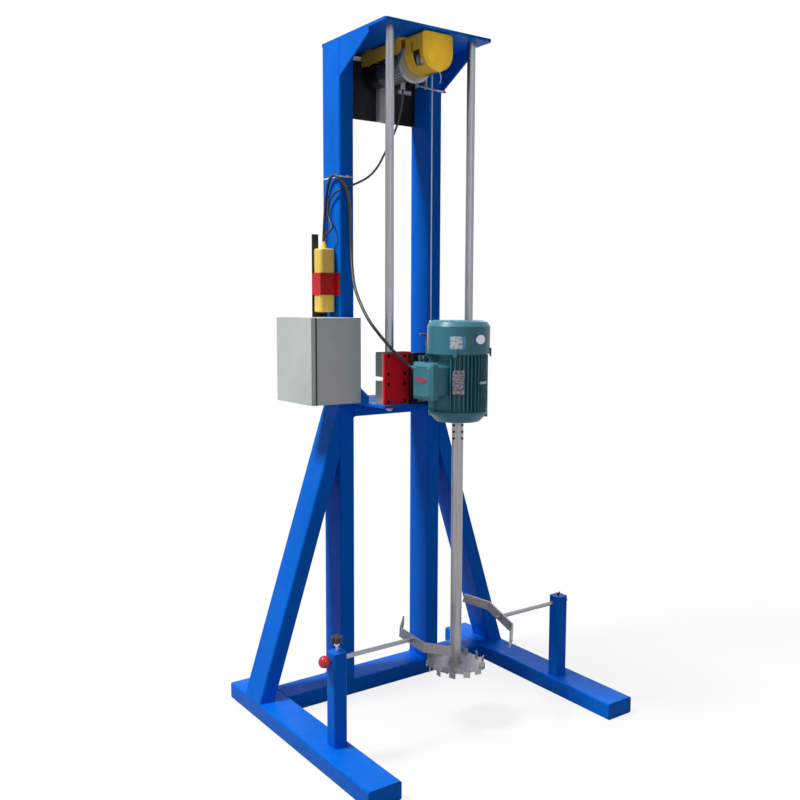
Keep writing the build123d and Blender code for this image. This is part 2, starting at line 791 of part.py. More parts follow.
with BuildPart() as motor_bolts:
    with BuildSketch(Plane.XZ.offset(-carriage_front - foot_bolt_depth + 2 * soft_gap)):
        with Locations((0, foot_middle_z)):
            with GridLocations(foot_pitch_x, foot_pitch_z, 2, 2):
                Circle(foot_bolt_shank / 2)
    extrude(amount=foot_bolt_depth - 2 * soft_gap + foot_thickness)
    with BuildSketch(Plane.XZ.offset(-carriage_front + foot_thickness)):
        with Locations((0, foot_middle_z)):
            with GridLocations(foot_pitch_x, foot_pitch_z, 2, 2):
                RegularPolygon(foot_bolt_flats / 2, 6, major_radius=False)
    extrude(amount=foot_bolt_head)
motor_bolts.part.label = "motor_bolts"
export_step(motor_bolts.part, "parts/motor_bolts.step")

# The stator is pressed into the barrel. It has a clear bore for the rotor.
air_gap = 0.4
stator_bore = 90.0
core_length = 120.0
core_bottom = barrel_bottom + (barrel_height - core_length) / 2
with BuildPart() as motor_stator:
    with BuildSketch(Plane.XY.offset(core_bottom)):
        with Locations((0, motor_y)):
            Circle(barrel_radius - barrel_wall - seat_clearance)
            Circle(stator_bore / 2, mode=Mode.SUBTRACT)
    extrude(amount=core_length)
motor_stator.part.label = "motor_stator"
export_step(motor_stator.part, "parts/motor_stator.step")

# Both end shields hold a bearing. The lower one is a dish with four lugs, and the upper one has four lugs
# that carry the cowl.
bearing_outer = 62.0
bearing_width = 16.0
shield_wall = 8.0
shield_nose = 80.0
lug_width = 22.0
shaft_hole = motor_shaft_diameter / 2 + running_clearance
with BuildPart() as end_shields:
    with BuildSketch(Plane.XZ.offset(-motor_y)):
        with BuildLine():
            Polyline(
                (shaft_hole, motor_bottom),
                (shield_nose - 6, motor_bottom),
                (shield_nose, motor_bottom + 5),
                (fin_radius - 3, barrel_bottom - 12),
                (fin_radius, barrel_bottom - 8),
                (fin_radius, barrel_bottom),
                (barrel_radius - barrel_wall - 1, barrel_bottom),
                (barrel_radius - 2 * barrel_wall, barrel_bottom - 12),
                (bearing_outer / 2 + shield_wall, motor_bottom + shield_wall),
                (bearing_outer / 2 + shield_wall, motor_bottom + shield_wall + bearing_width),
                (bearing_outer / 2, motor_bottom + shield_wall + bearing_width),
                (bearing_outer / 2, motor_bottom + shield_wall),
                (shaft_hole, motor_bottom + shield_wall),
                close=True,
            )
        make_face()
    revolve(axis=Axis((0, motor_y, 0), (0, 0, 1)))
    with BuildSketch(Plane.XZ.offset(-motor_y)):
        with BuildLine():
            Polyline(
                (shaft_hole, barrel_top),
                (shaft_hole, barrel_top + shield_wall),
                (fin_radius - 6, barrel_top + shield_wall),
                (fin_radius - 6, barrel_top),
                (bearing_outer / 2 + shield_wall, barrel_top),
                (bearing_outer / 2 + shield_wall, barrel_top - bearing_width),
                (bearing_outer / 2, barrel_top - bearing_width),
                (bearing_outer / 2, barrel_top),
                close=True,
            )
        make_face()
    revolve(axis=Axis((0, motor_y, 0), (0, 0, 1)))
    with BuildSketch(Plane.XY.offset(barrel_bottom - 20)):
        with Locations((0, motor_y)):
            with PolarLocations(fin_radius - lug_width / 2, 4, start_angle=45):
                Rectangle(lug_width, lug_width)
    extrude(amount=20)
    with BuildSketch(Plane.XY.offset(barrel_top)):
        with Locations((0, motor_y)):
            with PolarLocations(cowl_radius - lug_width / 2, 4, start_angle=45):
                Rectangle(lug_width, lug_width)
            Circle(cowl_radius - cowl_sheet - soft_gap, mode=Mode.INTERSECT)
    extrude(amount=shield_wall)
end_shields.part.label = "end_shields"
export_step(end_shields.part, "parts/end_shields.step")

# The cowl is a spun cup over the fan, open at the bottom, with rings of slots in its top.
cowl_bottom = carriage_bottom + carriage_height + cowl_gap
cowl_top = barrel_top + cowl_height
with BuildPart() as fan_cowl:
    with BuildSketch(Plane.XZ.offset(-motor_y)):
        with BuildLine():
            Polyline(
                (cowl_radius, cowl_bottom),
                (cowl_radius, cowl_top - cowl_bevel),
                (cowl_radius - cowl_bevel / 2, cowl_top - cowl_bevel / 4),
                (cowl_radius - cowl_bevel, cowl_top),
                (0, cowl_top),
                (0, cowl_top - cowl_sheet),
                (cowl_radius - cowl_bevel - cowl_sheet, cowl_top - cowl_sheet),
                (cowl_radius - cowl_bevel / 2 - cowl_sheet, cowl_top - cowl_bevel / 4 - cowl_sheet),
                (cowl_radius - cowl_sheet, cowl_top - cowl_bevel - cowl_sheet),
                (cowl_radius - cowl_sheet, cowl_bottom),
                close=True,
            )
        make_face()
    revolve(axis=Axis((0, motor_y, 0), (0, 0, 1)))
    for ring_radius, slot_count in ((30, 6), (46, 9), (62, 12), (78, 15)):
        with BuildSketch(Plane.XY.offset(cowl_top - 2 * cowl_sheet)):
            with Locations((0, motor_y)):
                with PolarLocations(ring_radius, slot_count):
                    SlotOverall(ring_radius * 2 * math.pi / slot_count * 0.72, 7, rotation=90)
        extrude(amount=3 * cowl_sheet, mode=Mode.SUBTRACT)
    clip_radius = cowl_radius + 2.4
    with BuildSketch(Plane.XY.offset(cowl_bottom - 8)):
        with Locations((0, motor_y)):
            with PolarLocations(clip_radius, 4, start_angle=45):
                Rectangle(6, 14)
            Circle(cowl_radius - cowl_sheet / 2, mode=Mode.SUBTRACT)
    extrude(amount=28)
fan_cowl.part.label = "fan_cowl"
export_step(fan_cowl.part, "parts/fan_cowl.step")

# The terminal box sits on the neck at the left of the barrel. A cable gland leaves it toward the rear.
gland_radius = 9.0
gland_length = 16.0
motor_cable_diameter = 11.0
terminal_rear_x = -terminal_face_x + terminal_depth
lid_seat_x = -terminal_face_x + lid_depth
terminal_rear_y = motor_y + terminal_width / 2
terminal_wall = 4.0
gland_x = (terminal_rear_x + lid_seat_x) / 2
motor_gland_z = foot_middle_z + 41.0
gland_bore = 16.0
with BuildPart() as terminal_box:
    with BuildSketch(Plane.YZ.offset(lid_seat_x)):
        with Locations((motor_y, foot_middle_z)):
            RectangleRounded(terminal_width, terminal_height, 10)
    extrude(amount=terminal_rear_x - lid_seat_x)
    with BuildSketch(Plane.YZ.offset(lid_seat_x)):
        with Locations((motor_y, foot_middle_z)):
            RectangleRounded(terminal_width - 2 * terminal_wall, terminal_height - 2 * terminal_wall, 6)
    extrude(amount=terminal_rear_x - lid_seat_x - terminal_wall, mode=Mode.SUBTRACT)
    with BuildSketch(Plane.XZ.offset(-terminal_rear_y + terminal_wall)):
        with Locations((gland_x, motor_gland_z)):
            Circle(gland_bore / 2 + seat_clearance)
    extrude(amount=-2 * terminal_wall, mode=Mode.SUBTRACT)
    with BuildSketch(Plane.XZ.offset(-terminal_rear_y)):
        with Locations((gland_x, motor_gland_z)):
            Circle(gland_radius)
            Circle(motor_cable_diameter / 2 + soft_gap, mode=Mode.SUBTRACT)
    extrude(amount=-gland_length)
    with BuildSketch(Plane.XZ.offset(-terminal_rear_y)):
        with Locations((gland_x, motor_gland_z)):
            RegularPolygon(gland_radius + 1, 6)
            Circle(gland_radius - 1, mode=Mode.SUBTRACT)
    extrude(amount=-gland_length / 2)
terminal_box.part.label = "terminal_box"
export_step(terminal_box.part, "parts/terminal_box.step")

lid_bevel = 9.0
with BuildPart() as terminal_lid:
    with BuildSketch(Plane.YZ.offset(lid_seat_x)):
        with Locations((motor_y, foot_middle_z)):
            RectangleRounded(terminal_width, terminal_height, 10)
    extrude(amount=-lid_depth)
    chamfer(terminal_lid.faces().sort_by(Axis.X)[0].edges(), lid_bevel)
terminal_lid.part.label = "terminal_lid"
export_step(terminal_lid.part, "parts/terminal_lid.step")

# ---------------------------------------------------------------- agitator
# Motor shaft, coupling, agitator shaft and disc turn together.
coupling_top = motor_bottom - 2.0
coupling_bottom = coupling_top - coupling_length
shaft_meeting = coupling_bottom + 32.0
rotor_radius = stator_bore / 2 - air_gap
bearing_seat = 25.0
fan_shaft = 20.0
shaft_top = barrel_top + 56.0
with BuildPart() as motor_shaft:
    with BuildSketch(Plane.XZ.offset(-motor_y)):
        with BuildLine():
            Polyline(
                (0, shaft_meeting),
                (motor_shaft_diameter / 2, shaft_meeting),
                (motor_shaft_diameter / 2, core_bottom),
                (rotor_radius, core_bottom),
                (rotor_radius, core_bottom + core_length),
                (motor_shaft_diameter / 2, core_bottom + core_length),
                (motor_shaft_diameter / 2, barrel_top + shield_wall + 2),
                (fan_shaft / 2, barrel_top + shield_wall + 2),
                (fan_shaft / 2, shaft_top),
                (0, shaft_top),
                close=True,
            )
        make_face()
    revolve(axis=Axis((0, motor_y, 0), (0, 0, 1)))
    for level in (motor_bottom + shield_wall, barrel_top - bearing_width):
        with BuildSketch(Plane.XY.offset(level)):
            with Locations((0, motor_y)):
                Circle(bearing_outer / 2 - running_clearance)
                Circle(motor_shaft_diameter / 2 + seat_clearance, mode=Mode.SUBTRACT)
        extrude(amount=bearing_width - soft_gap)
motor_shaft.part.label = "motor_shaft"
export_step(motor_shaft.part, "parts/motor_shaft.step")

fan_radius = 88.0
fan_hub = 22.0
fan_blades = 8
fan_bottom = barrel_top + shield_wall + 8.0
fan_height = 36.0
with BuildPart() as cooling_fan:
    with BuildSketch(Plane.XY.offset(fan_bottom)):
        with Locations((0, motor_y)):
            Circle(fan_radius)
    extrude(amount=3)
    with BuildSketch(Plane.XY.offset(fan_bottom)):
        with Locations((0, motor_y)):
            Circle(fan_hub)
    extrude(amount=fan_height)
    with BuildSketch(Plane.XY.offset(fan_bottom)):
        with Locations((0, motor_y)):
            with PolarLocations((fan_radius + fan_hub) / 2 - 2, fan_blades):
                Rectangle(fan_radius - fan_hub, 2.5)
    extrude(amount=fan_height)
    with BuildSketch(Plane.XY.offset(fan_bottom)):
        with Locations((0, motor_y)):
            Circle(fan_shaft / 2 + seat_clearance)
    extrude(amount=fan_height, mode=Mode.SUBTRACT)
cooling_fan.part.label = "cooling_fan"
export_step(cooling_fan.part, "parts/cooling_fan.step")

set_screw_levels = [coupling_top - 13.0 - row * set_screw_pitch for row in range(3)]
coupling_bore = motor_shaft_diameter / 2 + seat_clearance
set_screw_turn = 12.0
set_screw_proud = 3.0


def set_screw_lines(radius, start, length):
    """Four short rods square to the shaft at each row of the coupling, in the part that is open."""
    for level in set_screw_levels:
        for quarter in range(4):
            turn = math.radians(set_screw_turn + 90 * quarter)
            outward = (math.cos(turn), math.sin(turn), 0)
            foot = Vector(0, motor_y, level) + Vector(*outward) * start
            yield Plane(origin=foot, z_dir=outward), radius, length


with BuildPart() as shaft_coupling:
    with BuildSketch(Plane.XY.offset(coupling_bottom)):
        with Locations((0, motor_y)):
            Circle(coupling_diameter / 2)
            Circle(coupling_bore, mode=Mode.SUBTRACT)
    extrude(amount=coupling_length)
    for plane, radius, length in set_screw_lines(
        set_screw_diameter / 2 + seat_clearance, coupling_bore / 2, coupling_diameter / 2
    ):
        with BuildSketch(plane):
            Circle(radius)
        extrude(amount=length, mode=Mode.SUBTRACT)
shaft_coupling.part.label = "shaft_coupling"
export_step(shaft_coupling.part, "parts/shaft_coupling.step")

with BuildPart() as set_screws:
    for plane, radius, length in set_screw_lines(
        set_screw_diameter / 2,
        coupling_bore + soft_gap,
        coupling_diameter / 2 + set_screw_proud - coupling_bore - soft_gap,
    ):
        with BuildSketch(plane):
            Circle(radius)
        extrude(amount=length)
        with BuildSketch(plane.offset(length)):
            RegularPolygon(radius / 2, 6, major_radius=False)
        extrude(amount=-set_screw_proud, mode=Mode.SUBTRACT)
set_screws.part.label = "set_screws"
export_step(set_screws.part, "parts/set_screws.step")

disc_hub = 48.0
disc_bore = 20.0
disc_top = disc_height + disc_thickness
hub_height = 6.0
disc_nut_height = 12.0
disc_nut_flats = 30.0
disc_thread = disc_nut_height + 2.0
with BuildPart() as agitator_shaft:
    with BuildSketch(Plane.XZ.offset(-motor_y)):
        with BuildLine():
            Polyline(
                (0, disc_height - disc_thread),
                (disc_bore / 2, disc_height - disc_thread),
                (disc_bore / 2, disc_top),
                (shaft_diameter / 2, disc_top),
                (shaft_diameter / 2, coupling_bottom),
                (motor_shaft_diameter / 2, coupling_bottom),
                (motor_shaft_diameter / 2, shaft_meeting - soft_gap),
                (0, shaft_meeting - soft_gap),
                close=True,
            )
        make_face()
    revolve(axis=Axis((0, motor_y, 0), (0, 0, 1)))
agitator_shaft.part.label = "agitator_shaft"
export_step(agitator_shaft.part, "parts/agitator_shaft.step")

# Saw-tooth dispersing disc: its rim is cut into teeth that are bent up and down in turn and set at a slant
# to the rim.
tooth_sheet = 3.0
tooth_slant = 24.0
tooth_step = 360.0 / (2 * tooth_pairs)
slant = math.radians(tooth_slant)
tooth_reach = tooth_width / 2 * math.sin(slant) + tooth_sheet / 2 * math.cos(slant)
tooth_radius = math.sqrt((disc_diameter / 2) ** 2 - (tooth_width / 2 * math.cos(slant)) ** 2) - tooth_reach
with BuildPart() as sawtooth_disc:
    with BuildSketch(Plane.XY.offset(disc_height)):
        with Locations((0, motor_y)):
            Circle(tooth_radius)
            Circle(disc_bore / 2 + seat_clearance, mode=Mode.SUBTRACT)
    extrude(amount=disc_thickness)
    for index in range(2 * tooth_pairs):
        upward = index % 2 == 0
        turn = Location((0, motor_y, 0), (0, 0, index * tooth_step))
        foot = disc_height if upward else disc_top
        with BuildSketch(Plane.XY.offset(foot)):
            with Locations(turn):
                with Locations(Location((tooth_radius, 0, 0), (0, 0, 90 - tooth_slant))):
                    Rectangle(tooth_width, tooth_sheet)
        extrude(amount=tooth_height if upward else -tooth_height)
    with BuildSketch(Plane.XY.offset(disc_top)):
        with Locations((0, motor_y)):
            Circle(disc_hub / 2)
            Circle(shaft_diameter / 2 + seat_clearance, mode=Mode.SUBTRACT)
    extrude(amount=hub_height)
    with BuildSketch(Plane.XY.offset(disc_height - disc_nut_height)):
        with Locations((0, motor_y)):
            RegularPolygon(disc_nut_flats / 2, 6, major_radius=False)
            Circle(disc_bore / 2 + seat_clearance, mode=Mode.SUBTRACT)
    extrude(amount=disc_nut_height)
sawtooth_disc.part.label = "sawtooth_disc"
export_step(sawtooth_disc.part, "parts/sawtooth_disc.step")

# ---------------------------------------------------------------- control box
# Sheet enclosure on the outer face of the left column. Its pan-shaped door looks to the left and is hinged
# along the rear edge.
box_inner_x = -column_outer
box_outer_x = box_inner_x - box_depth
box_mouth_x = box_outer_x + door_depth + door_gap
box_middle_y = box_front_y + box_width / 2
box_rear_y = box_front_y + box_width
box_middle_z = box_bottom + box_height / 2
box_lip = 12.0
hinge_radius = 3.0
hinge_pin = 1.5
hinge_leaf = 1.5
hinge_leaf_width = 10.0
hinge_knuckle = 14.0
hinge_x = box_outer_x + door_depth + door_gap / 2
hinge_y = box_rear_y + hinge_radius
hinge_levels = [box_middle_z - box_height * 0.3, box_middle_z + box_height * 0.3]
gland_places = [(-241.0, column_front + 102), (-262.0, column_front + 100)]


def knuckle(level, height, toward):
    """Hinge barrel with a leaf that lies on the rear wall, in the part that is open."""
    with BuildSketch(Plane.XY.offset(level)) as barrel:
        with Locations((hinge_x, hinge_y)):
            Circle(hinge_radius)
        with Locations((hinge_x + toward * hinge_leaf_width / 2, box_rear_y + hinge_leaf / 2)):
            Rectangle(hinge_leaf_width, hinge_leaf)
        with Locations((hinge_x, hinge_y)):
            Circle(hinge_pin + running_clearance, mode=Mode.SUBTRACT)
    return barrel.sketch


with BuildPart() as control_box:
    with BuildSketch(Plane.YZ.offset(box_mouth_x)):
        with Locations((box_middle_y, box_middle_z)):
            Rectangle(box_width, box_height)
    extrude(amount=box_inner_x - box_mouth_x)
    with BuildSketch(Plane.YZ.offset(box_mouth_x)):
        with Locations((box_middle_y, box_middle_z)):
            Rectangle(box_width - 2 * box_lip, box_height - 2 * box_lip)
    extrude(amount=box_sheet, mode=Mode.SUBTRACT)
    with BuildSketch(Plane.YZ.offset(box_mouth_x + box_sheet)):
        with Locations((box_middle_y, box_middle_z)):
            Rectangle(box_width - 2 * box_sheet, box_height - 2 * box_sheet)
    extrude(amount=box_inner_x - box_mouth_x - 2 * box_sheet, mode=Mode.SUBTRACT)
    with BuildSketch(Plane.XY.offset(box_top - 2 * box_sheet)):
        with Locations(*gland_places):
            Circle(gland_bore / 2 + seat_clearance)
    extrude(amount=3 * box_sheet, mode=Mode.SUBTRACT)
    for level in hinge_levels:
        extrude(knuckle(level - 3 * hinge_knuckle / 2, 1, 1), amount=hinge_knuckle - soft_gap / 2)
        extrude(knuckle(level + hinge_knuckle / 2, 1, 1), amount=hinge_knuckle)
        with BuildSketch(Plane.XY.offset(level - 3 * hinge_knuckle / 2)):
            with Locations((hinge_x, hinge_y)):
                Circle(hinge_pin)
        extrude(amount=3 * hinge_knuckle)
control_box.part.label = "control_box"
export_step(control_box.part, "parts/control_box.step")

with BuildPart() as box_door:
    with BuildSketch(Plane.YZ.offset(box_outer_x)):
        with Locations((box_middle_y, box_middle_z)):
            Rectangle(box_width, box_height)
    extrude(amount=door_depth)
    with BuildSketch(Plane.YZ.offset(box_outer_x + box_sheet)):
        with Locations((box_middle_y, box_middle_z)):
            Rectangle(box_width - 2 * box_sheet, box_height - 2 * box_sheet)
    extrude(amount=door_depth, mode=Mode.SUBTRACT)
    for level in hinge_levels:
        extrude(knuckle(level - hinge_knuckle / 2 + soft_gap / 2, 1, -1), amount=hinge_knuckle - soft_gap)
box_door.part.label = "box_door"
export_step(box_door.part, "parts/box_door.step")

# Mounting plate on four feet inside the box, with a rail that carries a breaker, two contactors and a
# row of terminals.
plate_stand = 4.0
plate_sheet = 2.0
gear_face_x = box_inner_x - box_sheet - plate_stand - plate_sheet
device_specs = [
    (-78.0, 70.0, 36.0, 80.0, 66.0),
    (-22.0, 70.0, 45.0, 76.0, 72.0),
    (34.0, 70.0, 45.0, 76.0, 72.0),
    (-15.0, -78.0, 150.0, 42.0, 38.0),
]
with BuildPart() as switchgear:
    with BuildSketch(Plane.YZ.offset(gear_face_x)):
        with Locations((box_middle_y, box_middle_z)):
            Rectangle(box_width - 4 * box_lip, box_height - 4 * box_lip)
    extrude(amount=plate_sheet)
    with BuildSketch(Plane.YZ.offset(gear_face_x + plate_sheet)):
        with Locations((box_middle_y, box_middle_z)):
            with GridLocations(box_width - 6 * box_lip, box_height - 6 * box_lip, 2, 2):
                Circle(plate_stand)
    extrude(amount=plate_stand)
    for rail_z in (70.0, -78.0):
        with BuildSketch(Plane.YZ.offset(gear_face_x)):
            with Locations((box_middle_y, box_middle_z + rail_z)):
                Rectangle(box_width - 6 * box_lip, 35)
        extrude(amount=-7.5)
    for offset_y, offset_z, width, height, depth in device_specs:
        with BuildSketch(Plane.YZ.offset(gear_face_x)):
            with Locations((box_middle_y + offset_y, box_middle_z + offset_z)):
                Rectangle(width, height)
        extrude(amount=-depth)
        with BuildSketch(Plane.YZ.offset(gear_face_x - depth)):
            with Locations((box_middle_y + offset_y, box_middle_z + offset_z)):
                Rectangle(width - 8, height * 0.45)
        extrude(amount=-8)
switchgear.part.label = "switchgear"
export_step(switchgear.part, "parts/switchgear.step")

# Cable glands in the roof of the box. The first takes the motor cable and the second is spare.
roof_gland_height = 22.0
roof_nut_height = 5.0
with BuildPart() as box_glands:
    for place in gland_places:
        bore = motor_cable_diameter / 2 + soft_gap
        with BuildSketch(Plane.XY.offset(box_top - box_sheet - roof_nut_height)):
            with Locations(place):
                Circle(gland_bore / 2)
                Circle(bore, mode=Mode.SUBTRACT)
        extrude(amount=roof_nut_height + box_sheet + roof_gland_height)
        with BuildSketch(Plane.XY.offset(box_top)):
            with Locations(place):
                RegularPolygon(gland_radius, 6, major_radius=False)
                Circle(bore, mode=Mode.SUBTRACT)
        extrude(amount=roof_gland_height / 2)
        with BuildSketch(Plane.XY.offset(box_top + roof_gland_height / 2)):
            with Locations(place):
                Circle(gland_radius)
                Circle(bore, mode=Mode.SUBTRACT)
        extrude(amount=roof_gland_height / 2)
box_glands.part.label = "box_glands"
export_step(box_glands.part, "parts/box_glands.step")

# ---------------------------------------------------------------- pendant
# A strap bent round the pendant is screwed to the outer face of the left column. A flat bar behind it
# stands on the control box.
strap_inner_y = pendant_y - pendant_width / 2 - soft_gap
strap_rear_y = pendant_y + pendant_width / 2 + soft_gap
strap_x = -300.0
strap_flange = 18.0
bar_width = 26.0
bar_sheet = 4.0
bar_top = pendant_bottom + pendant_height + 53.0
bar_x = -285.0
strap_screw = 4.0
strap_screw_levels = (strap_bottom + strap_height * 0.22, strap_bottom + strap_height * 0.78)
with BuildPart() as pendant_holder:
    with BuildSketch(Plane.XY.offset(strap_bottom)):
        with BuildLine():
            Polyline(
                (-column_outer, strap_inner_y - strap_sheet - strap_flange),
                (-column_outer, strap_inner_y),
                (strap_x + strap_sheet, strap_inner_y),
                (strap_x + strap_sheet, strap_rear_y),
                (-column_outer, strap_rear_y),
                (-column_outer, strap_rear_y + strap_sheet + strap_flange / 2),
                (-column_outer - strap_sheet, strap_rear_y + strap_sheet + strap_flange / 2),
                (-column_outer - strap_sheet, strap_rear_y + strap_sheet),
                (strap_x, strap_rear_y + strap_sheet),
                (strap_x, strap_inner_y - strap_sheet),
                (-column_outer - strap_sheet, strap_inner_y - strap_sheet),
                (-column_outer - strap_sheet, strap_inner_y - strap_sheet - strap_flange),
                close=True,
            )
        make_face()
    extrude(amount=strap_height)
    with BuildSketch(Plane.YZ.offset(-column_outer - strap_sheet)):
        for screw_z in strap_screw_levels:
            with Locations((strap_inner_y - strap_sheet - strap_flange / 2, screw_z)):
                Circle(strap_screw)
    extrude(amount=-strap_screw)
    with BuildSketch(Plane.XY.offset(box_top)):
        with Locations((bar_x, strap_rear_y + strap_sheet + bar_sheet / 2)):
            Rectangle(bar_width, bar_sheet)
    extrude(amount=bar_top - box_top)
pendant_holder.part.label = "pendant_holder"
export_step(pendant_holder.part, "parts/pendant_holder.step")

pendant_x = strap_x + strap_sheet + soft_gap + pendant_depth / 2
pendant_top = pendant_bottom + pendant_height
pendant_rear = pendant_y + pendant_width / 2
button_x = -252.0
button_levels = {"up": pendant_top - 32.0, "down": pendant_top - 62.0}
button_travel = 4.0
button_well = 12.0
button_play = 0.3
button_length = button_well - button_travel - button_play + button_stand
boot_height = 26.0
boot_radius = 10.0
pendant_cable_diameter = 8.0
with BuildPart() as pendant_body:
    with BuildSketch(Plane.XY.offset(pendant_bottom)):
        with Locations((pendant_x, pendant_y)):
            RectangleRounded(pendant_depth, pendant_width, 12)
    extrude(amount=pendant_height)
    ends = pendant_body.faces().filter_by(Axis.Z).edges()
    fillet(ends, 6)
    with BuildSketch(Plane.XY.offset(pendant_top)):
        with Locations((pendant_x, pendant_y)):
            Circle(boot_radius + 2)
    with BuildSketch(Plane.XY.offset(pendant_top + boot_height)):
        with Locations((pendant_x, pendant_y)):
            Circle(pendant_cable_diameter / 2 + 2)
    loft()
    with BuildSketch(Plane.XZ.offset(-pendant_rear)):
        for level in button_levels.values():
            with Locations((button_x, level)):
                Circle(button_radius + button_play)
    extrude(amount=button_well, mode=Mode.SUBTRACT)
pendant_body.part.label = "pendant_body"
export_step(pendant_body.part, "parts/pendant_body.step")

with BuildPart() as up_button:
    with BuildSketch(Plane.XZ.offset(-pendant_rear - button_stand)):
        with Locations((button_x, button_levels["up"])):
            Circle(button_radius)
    extrude(amount=button_length)
    fillet(up_button.faces().sort_by(Axis.Y)[-1].edges(), 1.5)
up_button.part.label = "up_button"
export_step(up_button.part, "parts/up_button.step")

with BuildPart() as down_button:
    with BuildSketch(Plane.XZ.offset(-pendant_rear - button_stand)):
        with Locations((button_x, button_levels["down"])):
            Circle(button_radius)
    extrude(amount=button_length)
    fillet(down_button.faces().sort_by(Axis.Y)[-1].edges(), 1.5)
down_button.part.label = "down_button"
export_step(down_button.part, "parts/down_button.step")

# ---------------------------------------------------------------- hoist
# Electric wire-rope hoist under the top plate: the drum in its case at the front, the gear bell, the motor
# and its fan cover behind it, all on one axis and hung from a channel.
case_right_x = case_left_x + case_width
case_middle_x = case_left_x + case_width / 2
case_bottom_z = hoist_z - 45.0
case_top_z = case_bottom_z + case_height
case_rear_y = case_front_y + case_depth
end_plate = 4.0
case_corner = 14.0
case_radius = case_width / 2
rope_slot_width = 24.0
rope_slot_rise = 15.0
window_width = 40.0
window_height = 50.0
window_y = case_front_y + 38.0
vent_length = 33.0
vent_width = 10.0
vent_y = case_rear_y - 34.0
vent_z = hoist_z + 40.0
drum_front_y = -30.0
drum_rear_y = 35.0
drum_flange = 35.0
drum_shaft = 10.0
rope_x = hoist_x + drum_radius + rope_diameter / 2 + soft_gap
rope_y = rod_y


def case_outline(inset):
    """Face of the case seen from the front: a half round below and rounded corners above."""
    left = case_left_x + inset
    right = case_right_x - inset
    top = case_top_z - inset
    middle = case_bottom_z + case_radius
    with BuildSketch(Plane.XZ.offset(-case_rear_y)) as face:
        with BuildLine():
            Line((left, middle), (left, top - case_corner))
            RadiusArc((left, top - case_corner), (left + case_corner, top), case_corner)
            Line((left + case_corner, top), (right - case_corner, top))
            RadiusArc((right - case_corner, top), (right, top - case_corner), case_corner)
            Line((right, top - case_corner), (right, middle))
            ThreePointArc((right, middle), (case_middle_x, case_bottom_z + inset), (left, middle))
        make_face()
    return face.sketch


with BuildPart() as hoist_housing:
    extrude(case_outline(0), amount=case_depth)
    extrude(case_outline(case_sheet), amount=case_depth - case_sheet, mode=Mode.SUBTRACT)
    extrude(case_outline(0), amount=-end_plate)
    with BuildSketch(Plane.XZ.offset(-case_rear_y - end_plate)):
        with Locations((hoist_x, hoist_z)):
            Circle(drum_shaft + running_clearance)
    extrude(amount=case_depth + end_plate, mode=Mode.SUBTRACT)
    with BuildSketch(Plane.XZ.offset(drum_front_y)):
        with Locations((rope_x, case_bottom_z)):
            Rectangle(rope_slot_width, 2 * rope_slot_rise)
    extrude(amount=-2 * drum_front_y, mode=Mode.SUBTRACT)
    with BuildSketch(Plane.YZ.offset(case_left_x - 1)):
        with Locations((window_y, hoist_z)):
            Rectangle(window_width, window_height)
        with Locations((vent_y, vent_z)):
            SlotOverall(vent_length, vent_width, rotation=90)
    extrude(amount=case_radius / 2, mode=Mode.SUBTRACT)
hoist_housing.part.label = "hoist_housing"
export_step(hoist_housing.part, "parts/hoist_housing.step")

with BuildPart() as hoist_drum:
    with BuildSketch(Plane.XZ.offset(-case_rear_y - end_plate + soft_gap)):
        with Locations((hoist_x, hoist_z)):
            Circle(drum_shaft)
    extrude(amount=case_depth + end_plate - soft_gap)
    with BuildSketch(Plane.XZ.offset(-drum_rear_y)):
        with Locations((hoist_x, hoist_z)):
            Circle(drum_radius)
    extrude(amount=drum_rear_y - drum_front_y)
    for flange_y in (drum_rear_y, drum_front_y + 4):
        with BuildSketch(Plane.XZ.offset(-flange_y)):
            with Locations((hoist_x, hoist_z)):
                Circle(drum_flange)
        extrude(amount=4)
    with BuildSketch(Plane.XZ.offset(-drum_rear_y + 4)):
        with Locations((hoist_x, hoist_z)):
            Circle(drum_radius + rope_diameter)
    extrude(amount=4 * rope_diameter)
hoist_drum.part.label = "hoist_drum"
export_step(hoist_drum.part, "parts/hoist_drum.step")

